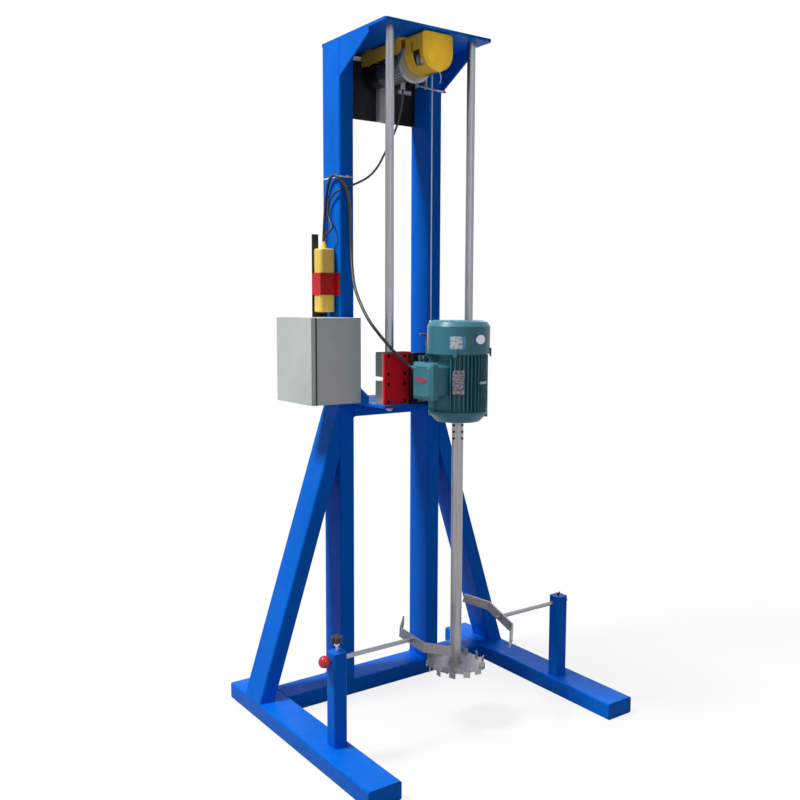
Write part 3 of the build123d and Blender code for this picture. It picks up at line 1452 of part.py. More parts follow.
bell_depth = 25.0
bell_front_y = case_rear_y + end_plate
hoist_motor_front_y = bell_front_y + bell_depth
hoist_rear_gap = 10.0
fan_cover_length = 72.0
fan_cover_rear_y = panel_front - duct_depth - hoist_rear_gap
hoist_barrel_length = fan_cover_rear_y - fan_cover_length - hoist_motor_front_y
hoist_fin_root = 42.0
hoist_fin_count = 28
lever_y = 63.0
lever_z = hoist_z - 73.0
lever_wire = 2.5
lever_half = 14.0
lever_reach = 122.0
lever_drop = 41.0
ear_sheet = 3.0
ear_gap = 0.5
supply_gland_y = 150.0
supply_gland_x = -16.0
supply_gland_z = hoist_z - 70.0
with BuildPart() as hoist_motor:
    with BuildSketch(Plane.XZ.offset(-hoist_motor_front_y)):
        with Locations((hoist_x, hoist_z)):
            Circle(bell_radius)
    extrude(amount=bell_depth)
    rear_rim = hoist_motor.faces().sort_by(Axis.Y)[-1].edges()
    fillet(rear_rim, 8)
    with BuildSketch(Plane.XZ.offset(-hoist_motor_front_y - hoist_barrel_length)):
        with Locations((hoist_x, hoist_z)):
            Circle(hoist_fin_root)
            with PolarLocations((hoist_fin_root + hoist_motor_radius) / 2 - 1, hoist_fin_count):
                Rectangle(hoist_motor_radius - hoist_fin_root + 2, 2.4)
    extrude(amount=hoist_barrel_length)
    for side in (-1, 1):
        inner = rope_x + side * (lever_half + lever_wire + 1)
        with BuildSketch(Plane.YZ.offset(inner if side > 0 else inner - ear_sheet)):
            with Locations((lever_y, lever_z + 17)):
                Rectangle(14, 50)
            with Locations((lever_y, lever_z)):
                Circle(lever_wire + running_clearance, mode=Mode.SUBTRACT)
        extrude(amount=ear_sheet)
    with BuildSketch(Plane.XY.offset(supply_gland_z)):
        with Locations((supply_gland_x, supply_gland_y)):
            Circle(gland_radius)
            Circle(pendant_cable_diameter / 2 + soft_gap, mode=Mode.SUBTRACT)
    extrude(until=Until.NEXT)
hoist_motor.part.label = "hoist_motor"
export_step(hoist_motor.part, "parts/hoist_motor.step")

fan_cover_radius = 42.0
with BuildPart() as hoist_fan_cover:
    with BuildSketch(Plane.XZ.offset(-fan_cover_rear_y)):
        with Locations((hoist_x, hoist_z)):
            Circle(fan_cover_radius)
    extrude(amount=fan_cover_length)
    fillet(hoist_fan_cover.faces().sort_by(Axis.Y)[-1].edges(), 7)
    offset(amount=-2, openings=hoist_fan_cover.faces().sort_by(Axis.Y)[0])
    with BuildSketch(Plane.XZ.offset(-fan_cover_rear_y)):
        with Locations((hoist_x, hoist_z)):
            for ring_radius, slot_count in ((12, 6), (24, 12)):
                with PolarLocations(ring_radius, slot_count):
                    SlotOverall(9, 4)
    extrude(amount=4, mode=Mode.SUBTRACT)
hoist_fan_cover.part.label = "hoist_fan_cover"
export_step(hoist_fan_cover.part, "parts/hoist_fan_cover.step")

channel_top_z = plate_bottom - hoist_top_gap
channel_sheet = 4.0
channel_width = 100.0
channel_drop = 46.0
channel_rear_y = panel_front - 17.0
flange_front_y = hoist_motor_front_y + 2.0
hanger_places = (hoist_motor_front_y + 22.0, channel_rear_y - 40.0)
hanger_width = 30.0
with BuildPart() as hoist_frame:
    with BuildSketch(Plane.XY.offset(channel_top_z - channel_sheet)):
        with Locations((hoist_x, (bell_front_y + channel_rear_y) / 2)):
            Rectangle(channel_width, channel_rear_y - bell_front_y)
    extrude(amount=channel_sheet)
    for side in (-1, 1):
        with BuildSketch(Plane.XY.offset(channel_top_z - channel_drop)):
            flange_x = hoist_x + side * (channel_width - channel_sheet) / 2
            with Locations((flange_x, (flange_front_y + channel_rear_y) / 2)):
                Rectangle(channel_sheet, channel_rear_y - flange_front_y)
        extrude(amount=channel_drop)
    for hanger_y in hanger_places:
        with BuildSketch(Plane.XY.offset(channel_top_z)):
            with Locations((hoist_x, hanger_y)):
                Rectangle(channel_width, hanger_width)
        extrude(amount=hoist_top_gap)
        with BuildSketch(Plane.XZ.offset(-hanger_y - hanger_width / 2)):
            with Locations((hoist_x, channel_top_z - channel_drop / 2)):
                Rectangle(channel_width - channel_sheet, channel_drop)
            with Locations((hoist_x, hoist_z)):
                Circle(hoist_motor_radius + soft_gap, mode=Mode.SUBTRACT)
        extrude(amount=channel_sheet)
hoist_frame.part.label = "hoist_frame"
export_step(hoist_frame.part, "parts/hoist_frame.step")

# The limit lever is a wire fork that hangs forward on both sides of the rope. The hook block lifts it at
# the top of the travel.
lever_slope = math.atan2(lever_drop, lever_reach)
lever_plane = Plane(
    origin=(rope_x, lever_y, lever_z),
    x_dir=(1, 0, 0),
    z_dir=(0, -math.sin(lever_slope), math.cos(lever_slope)),
)
lever_length = math.hypot(lever_reach, lever_drop)
with BuildPart() as limit_lever:
    with BuildLine(lever_plane) as fork:
        FilletPolyline(
            (-lever_half, 0),
            (-lever_half, -lever_length),
            (lever_half, -lever_length),
            (lever_half, 0),
            radius=6,
        )
    with BuildSketch(Plane(origin=fork.line @ 0, z_dir=fork.line % 0)):
        Circle(lever_wire)
    sweep(path=fork.line)
    with BuildSketch(Plane.YZ.offset(rope_x - lever_half - lever_wire - 1 - ear_sheet)):
        with Locations((lever_y, lever_z)):
            Circle(lever_wire)
    extrude(amount=2 * (lever_half + lever_wire + 1 + ear_sheet))
limit_lever.part.label = "limit_lever"
export_step(limit_lever.part, "parts/limit_lever.step")

# ---------------------------------------------------------------- rope and hook
hook_wire = 6.0
hook_radius = 24.0
hook_inner = hook_radius - hook_wire
hook_reach = eye_thickness / 2 + abs(rope_x)
hook_sag = hook_inner - math.sqrt(hook_inner**2 - hook_reach**2)
hook_bottom = eye_hole_z + eye_hole / 2 - soft_gap - hook_sag - hook_wire
hook_neck = hook_bottom + 56.0
ferrule_height = 36.0
ferrule_radius = 8.0
rope_bottom = hook_neck + ferrule_height
with BuildPart() as rope_hook:
    with BuildLine(Plane.XZ.offset(-rope_y)) as bend:
        FilletPolyline(
            (rope_x, hook_neck + 2),
            (rope_x, hook_neck - 7),
            (rope_x + hook_radius, hook_neck - 20),
            (rope_x + hook_radius, hook_bottom),
            (rope_x - hook_radius, hook_bottom),
            (rope_x - hook_radius, hook_bottom + 32),
            (rope_x - hook_radius - 8, hook_bottom + 42),
            radius=[6, 8, hook_radius - 0.1, hook_radius - 0.1, 10],
        )
    with BuildSketch(Plane(origin=bend.line @ 0, z_dir=bend.line % 0)):
        Circle(hook_wire)
    sweep(path=bend.line)
    with BuildSketch(Plane.XY.offset(hook_neck)):
        with Locations((rope_x, rope_y)):
            Circle(ferrule_radius)
    extrude(amount=ferrule_height)
rope_hook.part.label = "rope_hook"
export_step(rope_hook.part, "parts/rope_hook.step")

with BuildPart() as wire_rope:
    with BuildSketch(Plane.XY.offset(rope_bottom)):
        with Locations((rope_x, rope_y)):
            Circle(rope_diameter / 2)
    extrude(amount=hoist_z - rope_bottom)
wire_rope.part.label = "wire_rope"
export_step(wire_rope.part, "parts/wire_rope.step")

# ---------------------------------------------------------------- cables
arc_share = 0.45
tie_drop = 235.0
tie_level = panel_bottom - tie_drop


def corner_radii(route):
    """Radius of the arc at each inner point of a route, as large as its two runs allow."""
    radii = []
    for before, corner, after in zip(route, route[1:], route[2:]):
        run_in = Vector(*corner) - Vector(*before)
        run_out = Vector(*after) - Vector(*corner)
        half_turn = math.radians(run_in.get_angle(run_out)) / 2
        radii.append(arc_share * min(run_in.length, run_out.length) / math.tan(half_turn))
    return radii


def cable_centre_line(name, route, diameter):
    """Runs and arcs of a cable, with its length and bends printed."""
    with BuildLine() as centre:
        FilletPolyline(*route, radius=corner_radii(route))
    bends = ", ".join(f"{radius:.0f}" for radius in corner_radii(route))
    print(f"{name}: length {centre.wire().length:.0f} mm, diameter {diameter:.0f} mm, radii {bends}")
    return centre.wire()


def check_volume(name, solid, centre, diameter):
    """Print the tube's volume beside its section times its length."""
    wanted = math.pi * diameter**2 / 4 * centre.length
    print(f"{name}: volume {solid.volume:.0f} of {wanted:.0f} mm3")


# From the terminal box the motor cable swings up to the left column, goes round its front edge and runs
# down its outer face into the control box.
motor_cable_route = [
    (gland_x, terminal_rear_y + gland_length, motor_gland_z),
    (gland_x, terminal_rear_y + gland_length + 14, motor_gland_z),
    (-150, -64, motor_gland_z + 15),
    (-181, -60, motor_gland_z + 40),
    (-220, -57, motor_gland_z + 78),
    (-247, -40, motor_gland_z + 116),
    (-260, -8, motor_gland_z + 153),
    (-259, 30, motor_gland_z + 188),
    (-252, 76, motor_gland_z + 230),
    (-242, 122, motor_gland_z + 278),
    (-225, 162, motor_gland_z + 340),
    (-210, column_front - 46, tie_level - 267),
    (-202, column_front - 29, tie_level - 200),
    (-200, column_front - 22, tie_level - 128),
    (-205, column_front - 20, tie_level - 68),
    (-221, column_front - 20, tie_level - 27),
    (-240, column_front - 8, tie_level - 2),
    (-245, column_front + 16, tie_level + 8),
    (-243, column_front + 46, tie_level),
    (-240, column_front + 69, tie_level - 28),
    (-239, column_front + 82, tie_level - 74),
    (-240, column_front + 91, tie_level - 140),
    (-241, column_front + 97, box_top + 280),
    (-242, column_front + 101, box_top + 200),
    (gland_places[0][0], gland_places[0][1], box_top + 110),
    (gland_places[0][0], gland_places[0][1], box_top + roof_gland_height),
]
motor_cable_line = cable_centre_line("motor_cable", motor_cable_route, motor_cable_diameter)
with BuildPart() as motor_cable:
    with BuildSketch(Plane(origin=motor_cable_line @ 0, z_dir=motor_cable_line % 0)):
        Circle(motor_cable_diameter / 2)
    sweep(path=motor_cable_line)
check_volume("motor_cable", motor_cable.part, motor_cable_line, motor_cable_diameter)
motor_cable.part.label = "motor_cable"
export_step(motor_cable.part, "parts/motor_cable.step")

# The pendant cable drops from the hoist motor to the same tie, passes the edge and comes back to the
# pendant in a small loop.
pendant_cable_route = [
    (supply_gland_x, supply_gland_y, supply_gland_z),
    (supply_gland_x, supply_gland_y, supply_gland_z - 30),
    (-19, 156, supply_gland_z - 70),
    (-26, 166, supply_gland_z - 121),
    (-40, 182, supply_gland_z - 170),
    (-60, 196, supply_gland_z - 219),
    (-84, 204, supply_gland_z - 269),
    (-117, column_front - 23, tie_level + 7),
    (-168, column_front - 10, tie_level - 21),
    (-212, column_front - 6.5, tie_level - 36),
    (-239, column_front - 5, tie_level - 48),
    (-244, column_front + 20, tie_level - 60),
    (-243, column_front + 50, tie_level - 78),
    (-241, column_front + 66, tie_level - 112),
    (-242, pendant_y + 5, pendant_top + 108),
    (-246, pendant_y - 21, pendant_top + 87),
    (-254, pendant_y - 35, pendant_top + 70),
    (-262, pendant_y - 25, pendant_top + 57),
    (-265, pendant_y - 6, pendant_top + 51),
    (pendant_x, pendant_y, pendant_top + 41),
    (pendant_x, pendant_y, pendant_top + boot_height),
]
pendant_cable_line = cable_centre_line("pendant_cable", pendant_cable_route, pendant_cable_diameter)
with BuildPart() as pendant_cable:
    with BuildSketch(Plane(origin=pendant_cable_line @ 0, z_dir=pendant_cable_line % 0)):
        Circle(pendant_cable_diameter / 2)
    sweep(path=pendant_cable_line)
check_volume("pendant_cable", pendant_cable.part, pendant_cable_line, pendant_cable_diameter)
pendant_cable.part.label = "pendant_cable"
export_step(pendant_cable.part, "parts/pendant_cable.step")

# A plastic tie round the left column holds both cables at its front edge.
tie_band = 5.0
tie_sheet = 1.4
tie_head = 8.0
with BuildPart() as cable_ties:
    with BuildSketch(Plane.XY.offset(tie_level)):
        with Locations((-column_x, column_y)):
            RectangleRounded(tube_thin + 2 * tie_sheet, tube_deep + 2 * tie_sheet, tube_corner + tie_sheet)
            RectangleRounded(tube_thin, tube_deep, tube_corner, mode=Mode.SUBTRACT)
    extrude(amount=tie_band)
    with BuildSketch(Plane.XY.offset(tie_level - 1)):
        with Locations((-column_x, column_front - tie_sheet - 1)):
            Rectangle(tie_head, 4)
    extrude(amount=tie_band + 2)
cable_ties.part.label = "cable_ties"
export_step(cable_ties.part, "parts/cable_ties.step")
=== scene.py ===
import json
import math

import bmesh
import bpy
from mathutils import Matrix, Vector


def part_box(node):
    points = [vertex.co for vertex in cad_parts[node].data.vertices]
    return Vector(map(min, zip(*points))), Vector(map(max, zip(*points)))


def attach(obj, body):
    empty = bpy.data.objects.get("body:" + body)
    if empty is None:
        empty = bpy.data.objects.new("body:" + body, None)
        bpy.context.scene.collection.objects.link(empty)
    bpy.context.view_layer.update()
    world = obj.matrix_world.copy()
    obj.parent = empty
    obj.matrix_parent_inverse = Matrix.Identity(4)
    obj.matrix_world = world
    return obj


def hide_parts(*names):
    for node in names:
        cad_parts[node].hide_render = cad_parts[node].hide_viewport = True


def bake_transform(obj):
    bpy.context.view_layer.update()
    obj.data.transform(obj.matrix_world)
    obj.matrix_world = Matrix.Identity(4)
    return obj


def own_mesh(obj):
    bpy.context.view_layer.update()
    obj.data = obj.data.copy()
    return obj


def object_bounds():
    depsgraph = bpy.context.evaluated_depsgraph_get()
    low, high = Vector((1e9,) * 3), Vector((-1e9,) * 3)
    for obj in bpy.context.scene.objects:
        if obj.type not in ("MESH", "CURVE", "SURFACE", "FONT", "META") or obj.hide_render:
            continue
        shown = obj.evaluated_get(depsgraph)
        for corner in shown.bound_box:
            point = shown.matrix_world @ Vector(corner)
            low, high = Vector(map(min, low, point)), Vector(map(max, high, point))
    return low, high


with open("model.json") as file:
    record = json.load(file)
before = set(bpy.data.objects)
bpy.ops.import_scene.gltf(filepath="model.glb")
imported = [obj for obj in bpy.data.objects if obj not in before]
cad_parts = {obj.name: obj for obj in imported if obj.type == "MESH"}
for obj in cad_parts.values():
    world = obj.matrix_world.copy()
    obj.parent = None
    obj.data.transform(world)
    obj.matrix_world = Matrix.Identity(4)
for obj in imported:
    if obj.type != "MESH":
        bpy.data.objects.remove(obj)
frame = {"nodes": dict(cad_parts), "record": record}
cad_low, cad_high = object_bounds()
nodes = frame["nodes"]
record = frame["record"]

# ---------------------------------------------------------------- camera
CAMERA_PLACE = (-1.9574, -2.5882, 1.4874)
CAMERA_YAW = math.radians(-35.227)
CAMERA_TILT = math.radians(90 - 6.035)
CAMERA_ROLL = math.radians(0.153)
CAMERA_LENS = 40.74


def make_camera():
    """Camera at the photograph's place, turned by yaw, tilt and a slight roll."""
    data = bpy.data.cameras.new("camera")
    data.lens = CAMERA_LENS
    data.sensor_width = 36
    data.clip_end = 60
    camera = bpy.data.objects.new("camera", data)
    bpy.context.collection.objects.link(camera)
    turn = Matrix.Rotation(CAMERA_YAW, 4, "Z") @ Matrix.Rotation(CAMERA_TILT, 4, "X")
    roll = Matrix.Rotation(CAMERA_ROLL, 4, "Z")
    camera.matrix_world = Matrix.Translation(CAMERA_PLACE) @ turn @ roll
    bpy.context.scene.camera = camera


make_camera()

# ---------------------------------------------------------------- cords
MOTOR_CABLE = 0.011
MOTOR_CABLE_ROUTE = [
    (-0.1375, -0.091, 1.27225),
    (-0.1375, -0.077, 1.27225),
    (-0.150, -0.064, 1.287),
    (-0.181, -0.060, 1.312),
    (-0.220, -0.057, 1.350),
    (-0.247, -0.040, 1.388),
    (-0.260, -0.008, 1.425),
    (-0.259, 0.030, 1.460),
    (-0.252, 0.076, 1.502),
    (-0.242, 0.122, 1.550),
    (-0.225, 0.162, 1.612),
    (-0.210, 0.190, 1.673),
    (-0.202, 0.207, 1.740),
    (-0.200, 0.214, 1.812),
    (-0.205, 0.216, 1.872),
    (-0.221, 0.216, 1.913),
    (-0.240, 0.228, 1.938),
    (-0.245, 0.252, 1.948),
    (-0.243, 0.282, 1.940),
    (-0.240, 0.305, 1.912),
    (-0.239, 0.318, 1.866),
    (-0.240, 0.327, 1.800),
    (-0.241, 0.333, 1.720),
    (-0.242, 0.337, 1.640),
    (-0.241, 0.338, 1.550),
    (-0.241, 0.338, 1.462),
]
PENDANT_CABLE = 0.008
PENDANT_CABLE_ROUTE = [
    (-0.016, 0.150, 2.256),
    (-0.016, 0.150, 2.226),
    (-0.019, 0.156, 2.186),
    (-0.026, 0.166, 2.135),
    (-0.040, 0.182, 2.086),
    (-0.060, 0.196, 2.037),
    (-0.084, 0.204, 1.987),
    (-0.117, 0.213, 1.947),
    (-0.168, 0.226, 1.919),
    (-0.212, 0.2295, 1.904),
    (-0.239, 0.231, 1.892),
    (-0.244, 0.256, 1.880),
    (-0.243, 0.286, 1.862),
    (-0.241, 0.302, 1.828),
    (-0.242, 0.292, 1.795),
    (-0.246, 0.266, 1.774),
    (-0.254, 0.252, 1.757),
    (-0.262, 0.262, 1.744),
    (-0.265, 0.281, 1.738),
    (-0.2657, 0.287, 1.728),
    (-0.2657, 0.287, 1.713),
]


def centre_curve(name, route, diameter=0.0):
    """One smooth curve with the route's points as its control points."""
    data = bpy.data.curves.new(name, "CURVE")
    data.dimensions = "3D"
    spline = data.splines.new("NURBS")
    spline.points.add(len(route) - 1)
    for point, place in zip(spline.points, route):
        point.co = (*place, 1)
    spline.order_u = 3
    spline.use_endpoint_u = True
    spline.resolution_u = 10
    data.bevel_depth = diameter / 2
    data.bevel_resolution = 5
    data.use_fill_caps = True
    made = bpy.data.objects.new(name, data)
    bpy.context.collection.objects.link(made)
    return made


def as_mesh(made):
    """A curve object turned into a mesh object of the same name."""
    name = made.name
    bpy.context.view_layer.update()
    mesh = bpy.data.meshes.new_from_object(made)
    bpy.data.objects.remove(made)
    mesh.name = name
    solid = bpy.data.objects.new(name, mesh)
    bpy.context.collection.objects.link(solid)
    for face in mesh.polygons:
        face.use_smooth = True
    return solid


def route_line(route):
    """Points along the smooth curve that the route's control points give."""
    line = centre_curve("route", route)
    line.data.use_fill_caps = False
    bpy.context.view_layer.update()
    mesh = bpy.data.meshes.new_from_object(line)
    bpy.data.objects.remove(line)
    points = [vertex.co.copy() for vertex in mesh.vertices]
    bpy.data.meshes.remove(mesh)
    return points


motor_cable = as_mesh(centre_curve("motor_cable_run", MOTOR_CABLE_ROUTE, MOTOR_CABLE))
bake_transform(motor_cable)
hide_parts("motor_cable")
route_line(MOTOR_CABLE_ROUTE)
pendant_cable = as_mesh(centre_curve("pendant_cable_run", PENDANT_CABLE_ROUTE, PENDANT_CABLE))
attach(pendant_cable, "root")
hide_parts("pendant_cable")
route_line(PENDANT_CABLE_ROUTE)

# ---------------------------------------------------------------- materials
class Surface:
    """One procedural material: a Principled shader and the nodes that feed it, in object coordinates."""

    def __init__(self, name, colour, roughness, metallic=0.0, specular=0.5, coat=0.0):
        self.material = bpy.data.materials.new(name)
        self.material.use_nodes = True
        self.tree = self.material.node_tree
        self.shader = self.tree.nodes["Principled BSDF"]
        self.set("Base Color", (*colour, 1))
        self.set("Roughness", roughness)
        self.set("Metallic", metallic)
        self.set("Specular IOR Level", specular)
        self.set("Coat Weight", coat)
        self.height = None
        self.place = self.tree.nodes.new("ShaderNodeTexCoord").outputs["Object"]

    def set(self, name, value):
        """A number or colour that is the same all over the surface."""
        self.shader.inputs[name].default_value = value

    def link(self, output, name):
        self.tree.links.new(output, self.shader.inputs[name])

    def node(self, kind, **values):
        made = self.tree.nodes.new(kind)
        for name, value in values.items():
            setattr(made, name, value)
        return made

    def stretched(self, stretch):
        """Object coordinates scaled along each axis, for streaks and brushed lines."""
        mapping = self.node("ShaderNodeMapping")
        mapping.inputs["Scale"].default_value = stretch
        self.tree.links.new(self.place, mapping.inputs["Vector"])
        return mapping.outputs[0]

    def noise(self, scale, detail=3.0, roughness=0.5, stretch=None):
        made = self.node("ShaderNodeTexNoise")
        made.inputs["Scale"].default_value = scale
        made.inputs["Detail"].default_value = detail
        made.inputs["Roughness"].default_value = roughness
        source = self.stretched(stretch) if stretch else self.place
        self.tree.links.new(source, made.inputs["Vector"])
        return made.outputs["Fac"]

    def spread(self, value, low, high, to_low=0.0, to_high=1.0):
        """A value taken from one range to another and held at its ends."""
        made = self.node("ShaderNodeMapRange")
        made.inputs["From Min"].default_value = low
        made.inputs["From Max"].default_value = high
        made.inputs["To Min"].default_value = to_low
        made.inputs["To Max"].default_value = to_high
        self.tree.links.new(value, made.inputs["Value"])
        return made.outputs["Result"]

    def math(self, operation, first, second):
        made = self.node("ShaderNodeMath", operation=operation)
        for index, value in enumerate((first, second)):
            if isinstance(value, (int, float)):
                made.inputs[index].default_value = value
            else:
                self.tree.links.new(value, made.inputs[index])
        return made.outputs[0]

    def mix(self, share, first, second):
        """Colour that goes from first to second as share goes from 0 to 1."""
        made = self.node("ShaderNodeMix", data_type="RGBA")
        self.tree.links.new(share, made.inputs["Factor"])
        for name, value in (("A", first), ("B", second)):
            socket = next(s for s in made.inputs if s.name == name and s.type == "RGBA")
            if isinstance(value, tuple):
                socket.default_value = (*value, 1)
            else:
                self.tree.links.new(value, socket)
        return next(s for s in made.outputs if s.type == "RGBA")

    def axis(self, index):
        """One object coordinate, in metres."""
        made = self.node("ShaderNodeSeparateXYZ")
        self.tree.links.new(self.place, made.inputs[0])
        return made.outputs[index]

    def bump(self, height, strength, distance):
        """Fine relief, laid over any that is there already."""
        made = self.node("ShaderNodeBump")
        made.inputs["Strength"].default_value = strength
        made.inputs["Distance"].default_value = distance
        self.tree.links.new(height, made.inputs["Height"])
        if self.height is not None:
            self.tree.links.new(self.height, made.inputs["Normal"])
        self.height = made.outputs[0]
        self.link(self.height, "Normal")


def tinted(colour, factor):
    return tuple(min(1.0, channel * factor) for channel in colour)


# Floor dust rubbed into paint
DUST = (0.17, 0.18, 0.20)
# Share by which a paint's blotches are lighter and darker than its colour
BLOTCH = 0.12


def enamel(name, colour, roughness=0.3, peel=0.25, coat=0.0, specular=0.14, grime=0.0):
    """Gloss paint on steel: faint blotches, orange peel, dull patches, and dust low down with grime."""
    paint = Surface(name, colour, roughness, specular=specular, coat=coat)
    paint.set("Coat Roughness", 0.12)
    cloudy = paint.spread(paint.noise(3.5, 4, 0.6), 0.35, 0.65)
    fine = paint.spread(paint.noise(45, 3, 0.6), 0.3, 0.7)
    base = paint.mix(cloudy, tinted(colour, 1 - BLOTCH), tinted(colour, 1 + BLOTCH))
    worn = paint.mix(fine, tinted(colour, 0.94), base)
    if grime:
        scuff = paint.spread(paint.noise(38, 5, 0.7), 0.5, 0.66)
        foot = paint.spread(paint.axis(2), 0.01, 0.14, grime, grime * 0.15)
        worn = paint.mix(paint.math("MULTIPLY", scuff, foot), worn, DUST)
    paint.link(worn, "Base Color")
    dull = paint.spread(paint.noise(12, 4, 0.65), 0.3, 0.75, roughness * 0.75, roughness * 1.5)
    paint.link(dull, "Roughness")
    paint.bump(paint.noise(420, 2, 0.5), peel, 0.0006)
    paint.bump(paint.noise(30, 2, 0.5), peel * 0.4, 0.002)
    return paint


def bare_metal(name, colour, roughness, stretch, scale):
    """Metal with drawn, ground or milled lines along one direction, and light stains."""
    metal = Surface(name, colour, roughness, metallic=1.0)
    lines = metal.noise(scale, 4, 0.7, stretch)
    stain = metal.spread(metal.noise(9, 4, 0.6), 0.35, 0.7)
    tone = metal.mix(metal.spread(lines, 0.3, 0.7), tinted(colour, 0.82), tinted(colour, 1.12))
    metal.link(metal.mix(metal.spread(stain, 0, 1, 0, 0.35), tone, tinted(colour, 0.7)), "Base Color")
    metal.link(metal.spread(lines, 0.3, 0.7, roughness * 0.7, roughness * 1.4), "Roughness")
    metal.bump(lines, 0.12, 0.0004)
    return metal


def cast_paint(name, colour, roughness=0.34):
    """Gloss paint over sand-cast iron: a coarse skin, with dust in the hollows of the grain."""
    paint = Surface(name, colour, roughness, specular=0.3)
    grain = paint.noise(260, 4, 0.6)
    patch = paint.spread(paint.noise(6, 3, 0.6), 0.35, 0.65)
    base = paint.mix(patch, tinted(colour, 0.88), tinted(colour, 1.14))
    paint.link(paint.mix(paint.spread(grain, 0.3, 0.6), tinted(colour, 0.84), base), "Base Color")
    dull = paint.spread(paint.noise(20, 3, 0.6), 0.3, 0.7, roughness * 0.8, roughness * 1.4)
    paint.link(dull, "Roughness")
    paint.bump(grain, 0.35, 0.0008)
    return paint


def plastic(name, colour, roughness=0.4, grain=0.2):
    """Moulded plastic with a fine grain and slight handling marks."""
    made = Surface(name, colour, roughness)
    marks = made.spread(made.noise(25, 4, 0.65), 0.35, 0.7)
    made.link(made.mix(marks, tinted(colour, 0.9), tinted(colour, 1.08)), "Base Color")
    dull = made.spread(made.noise(40, 3, 0.6), 0.3, 0.7, roughness * 0.8, roughness * 1.3)
    made.link(dull, "Roughness")
    made.bump(made.noise(900, 2, 0.5), grain, 0.0003)
    return made


def powder_coat(name, colour, roughness=0.42):
    """Textured powder coat on sheet steel."""
    made = Surface(name, colour, roughness)
    cloud = made.spread(made.noise(5, 3, 0.5), 0.35, 0.65)
    made.link(made.mix(cloud, tinted(colour, 0.95), tinted(colour, 1.05)), "Base Color")
    dull = made.spread(made.noise(18, 3, 0.6), 0.3, 0.7, roughness * 0.85, roughness * 1.25)
    made.link(dull, "Roughness")
    made.bump(made.noise(700, 2, 0.6), 0.3, 0.0004)
    return made


def srgb(red, green, blue):
    """A colour as a screen shows it, 0 to 255, as the linear numbers that a shader takes."""
    share = (red / 255, green / 255, blue / 255)
    return tuple(c / 12.92 if c <= 0.04045 else ((c + 0.055) / 1.055) ** 2.4 for c in share)


LINE_Z = (1, 1, 0.03)
EVEN = (1, 1, 1)
# Faces of the trunking and trims stand in front of the rear panel's sheet
PANEL_FACE_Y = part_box("rear_panel")[1].y - 0.0035
TRUNK_HALF_SPAN = 0.16
# The holder's red strap goes round the pendant between these levels, and its bar is dark above and below
HOLDER_STRAP_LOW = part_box("pendant_body")[0].z + 0.062
HOLDER_STRAP_HIGH = HOLDER_STRAP_LOW + 0.080
# The colours change this far outside the strap's edges, so that its own edges stay red
HOLDER_STRAP_EDGE = 0.0002
# The lock screw below this distance from its grip's top is bright steel
GRIP_DEEP = 0.0205


def rear_panel_paint():
    """Dark sheet with a light cable trunk and trims on its front."""
    panel = enamel("panel_dark", srgb(44, 45, 48), 0.5, 0.2, 0.0)
    light = panel.math("LESS_THAN", panel.axis(1), PANEL_FACE_Y)
    inner = panel.math("LESS_THAN", panel.math("ABSOLUTE", panel.axis(0), 0.0), TRUNK_HALF_SPAN)
    share = panel.math("MULTIPLY", light, inner)
    cloud = panel.spread(panel.noise(14, 3, 0.6), 0.35, 0.65)
    dark = panel.mix(cloud, srgb(34, 35, 37), srgb(52, 52, 54))
    pale = panel.mix(cloud, srgb(205, 203, 198), srgb(232, 230, 226))
    panel.link(panel.mix(share, dark, pale), "Base Color")
    return panel


def holder_paint():
    """Red strap on a dark steel bar."""
    holder = enamel("clamp_red", srgb(205, 24, 34), 0.36, 0.2, 0.1)
    above = holder.math("GREATER_THAN", holder.axis(2), HOLDER_STRAP_HIGH + HOLDER_STRAP_EDGE)
    below = holder.math("LESS_THAN", holder.axis(2), HOLDER_STRAP_LOW - HOLDER_STRAP_EDGE)
    behind = holder.math("MAXIMUM", above, below)
    cloud = holder.spread(holder.noise(9, 3, 0.6), 0.35, 0.65)
    red = holder.mix(cloud, srgb(176, 16, 26), srgb(214, 26, 36))
    bar = holder.mix(cloud, srgb(38, 36, 34), srgb(70, 68, 62))
    holder.link(holder.mix(behind, red, bar), "Base Color")
    return holder


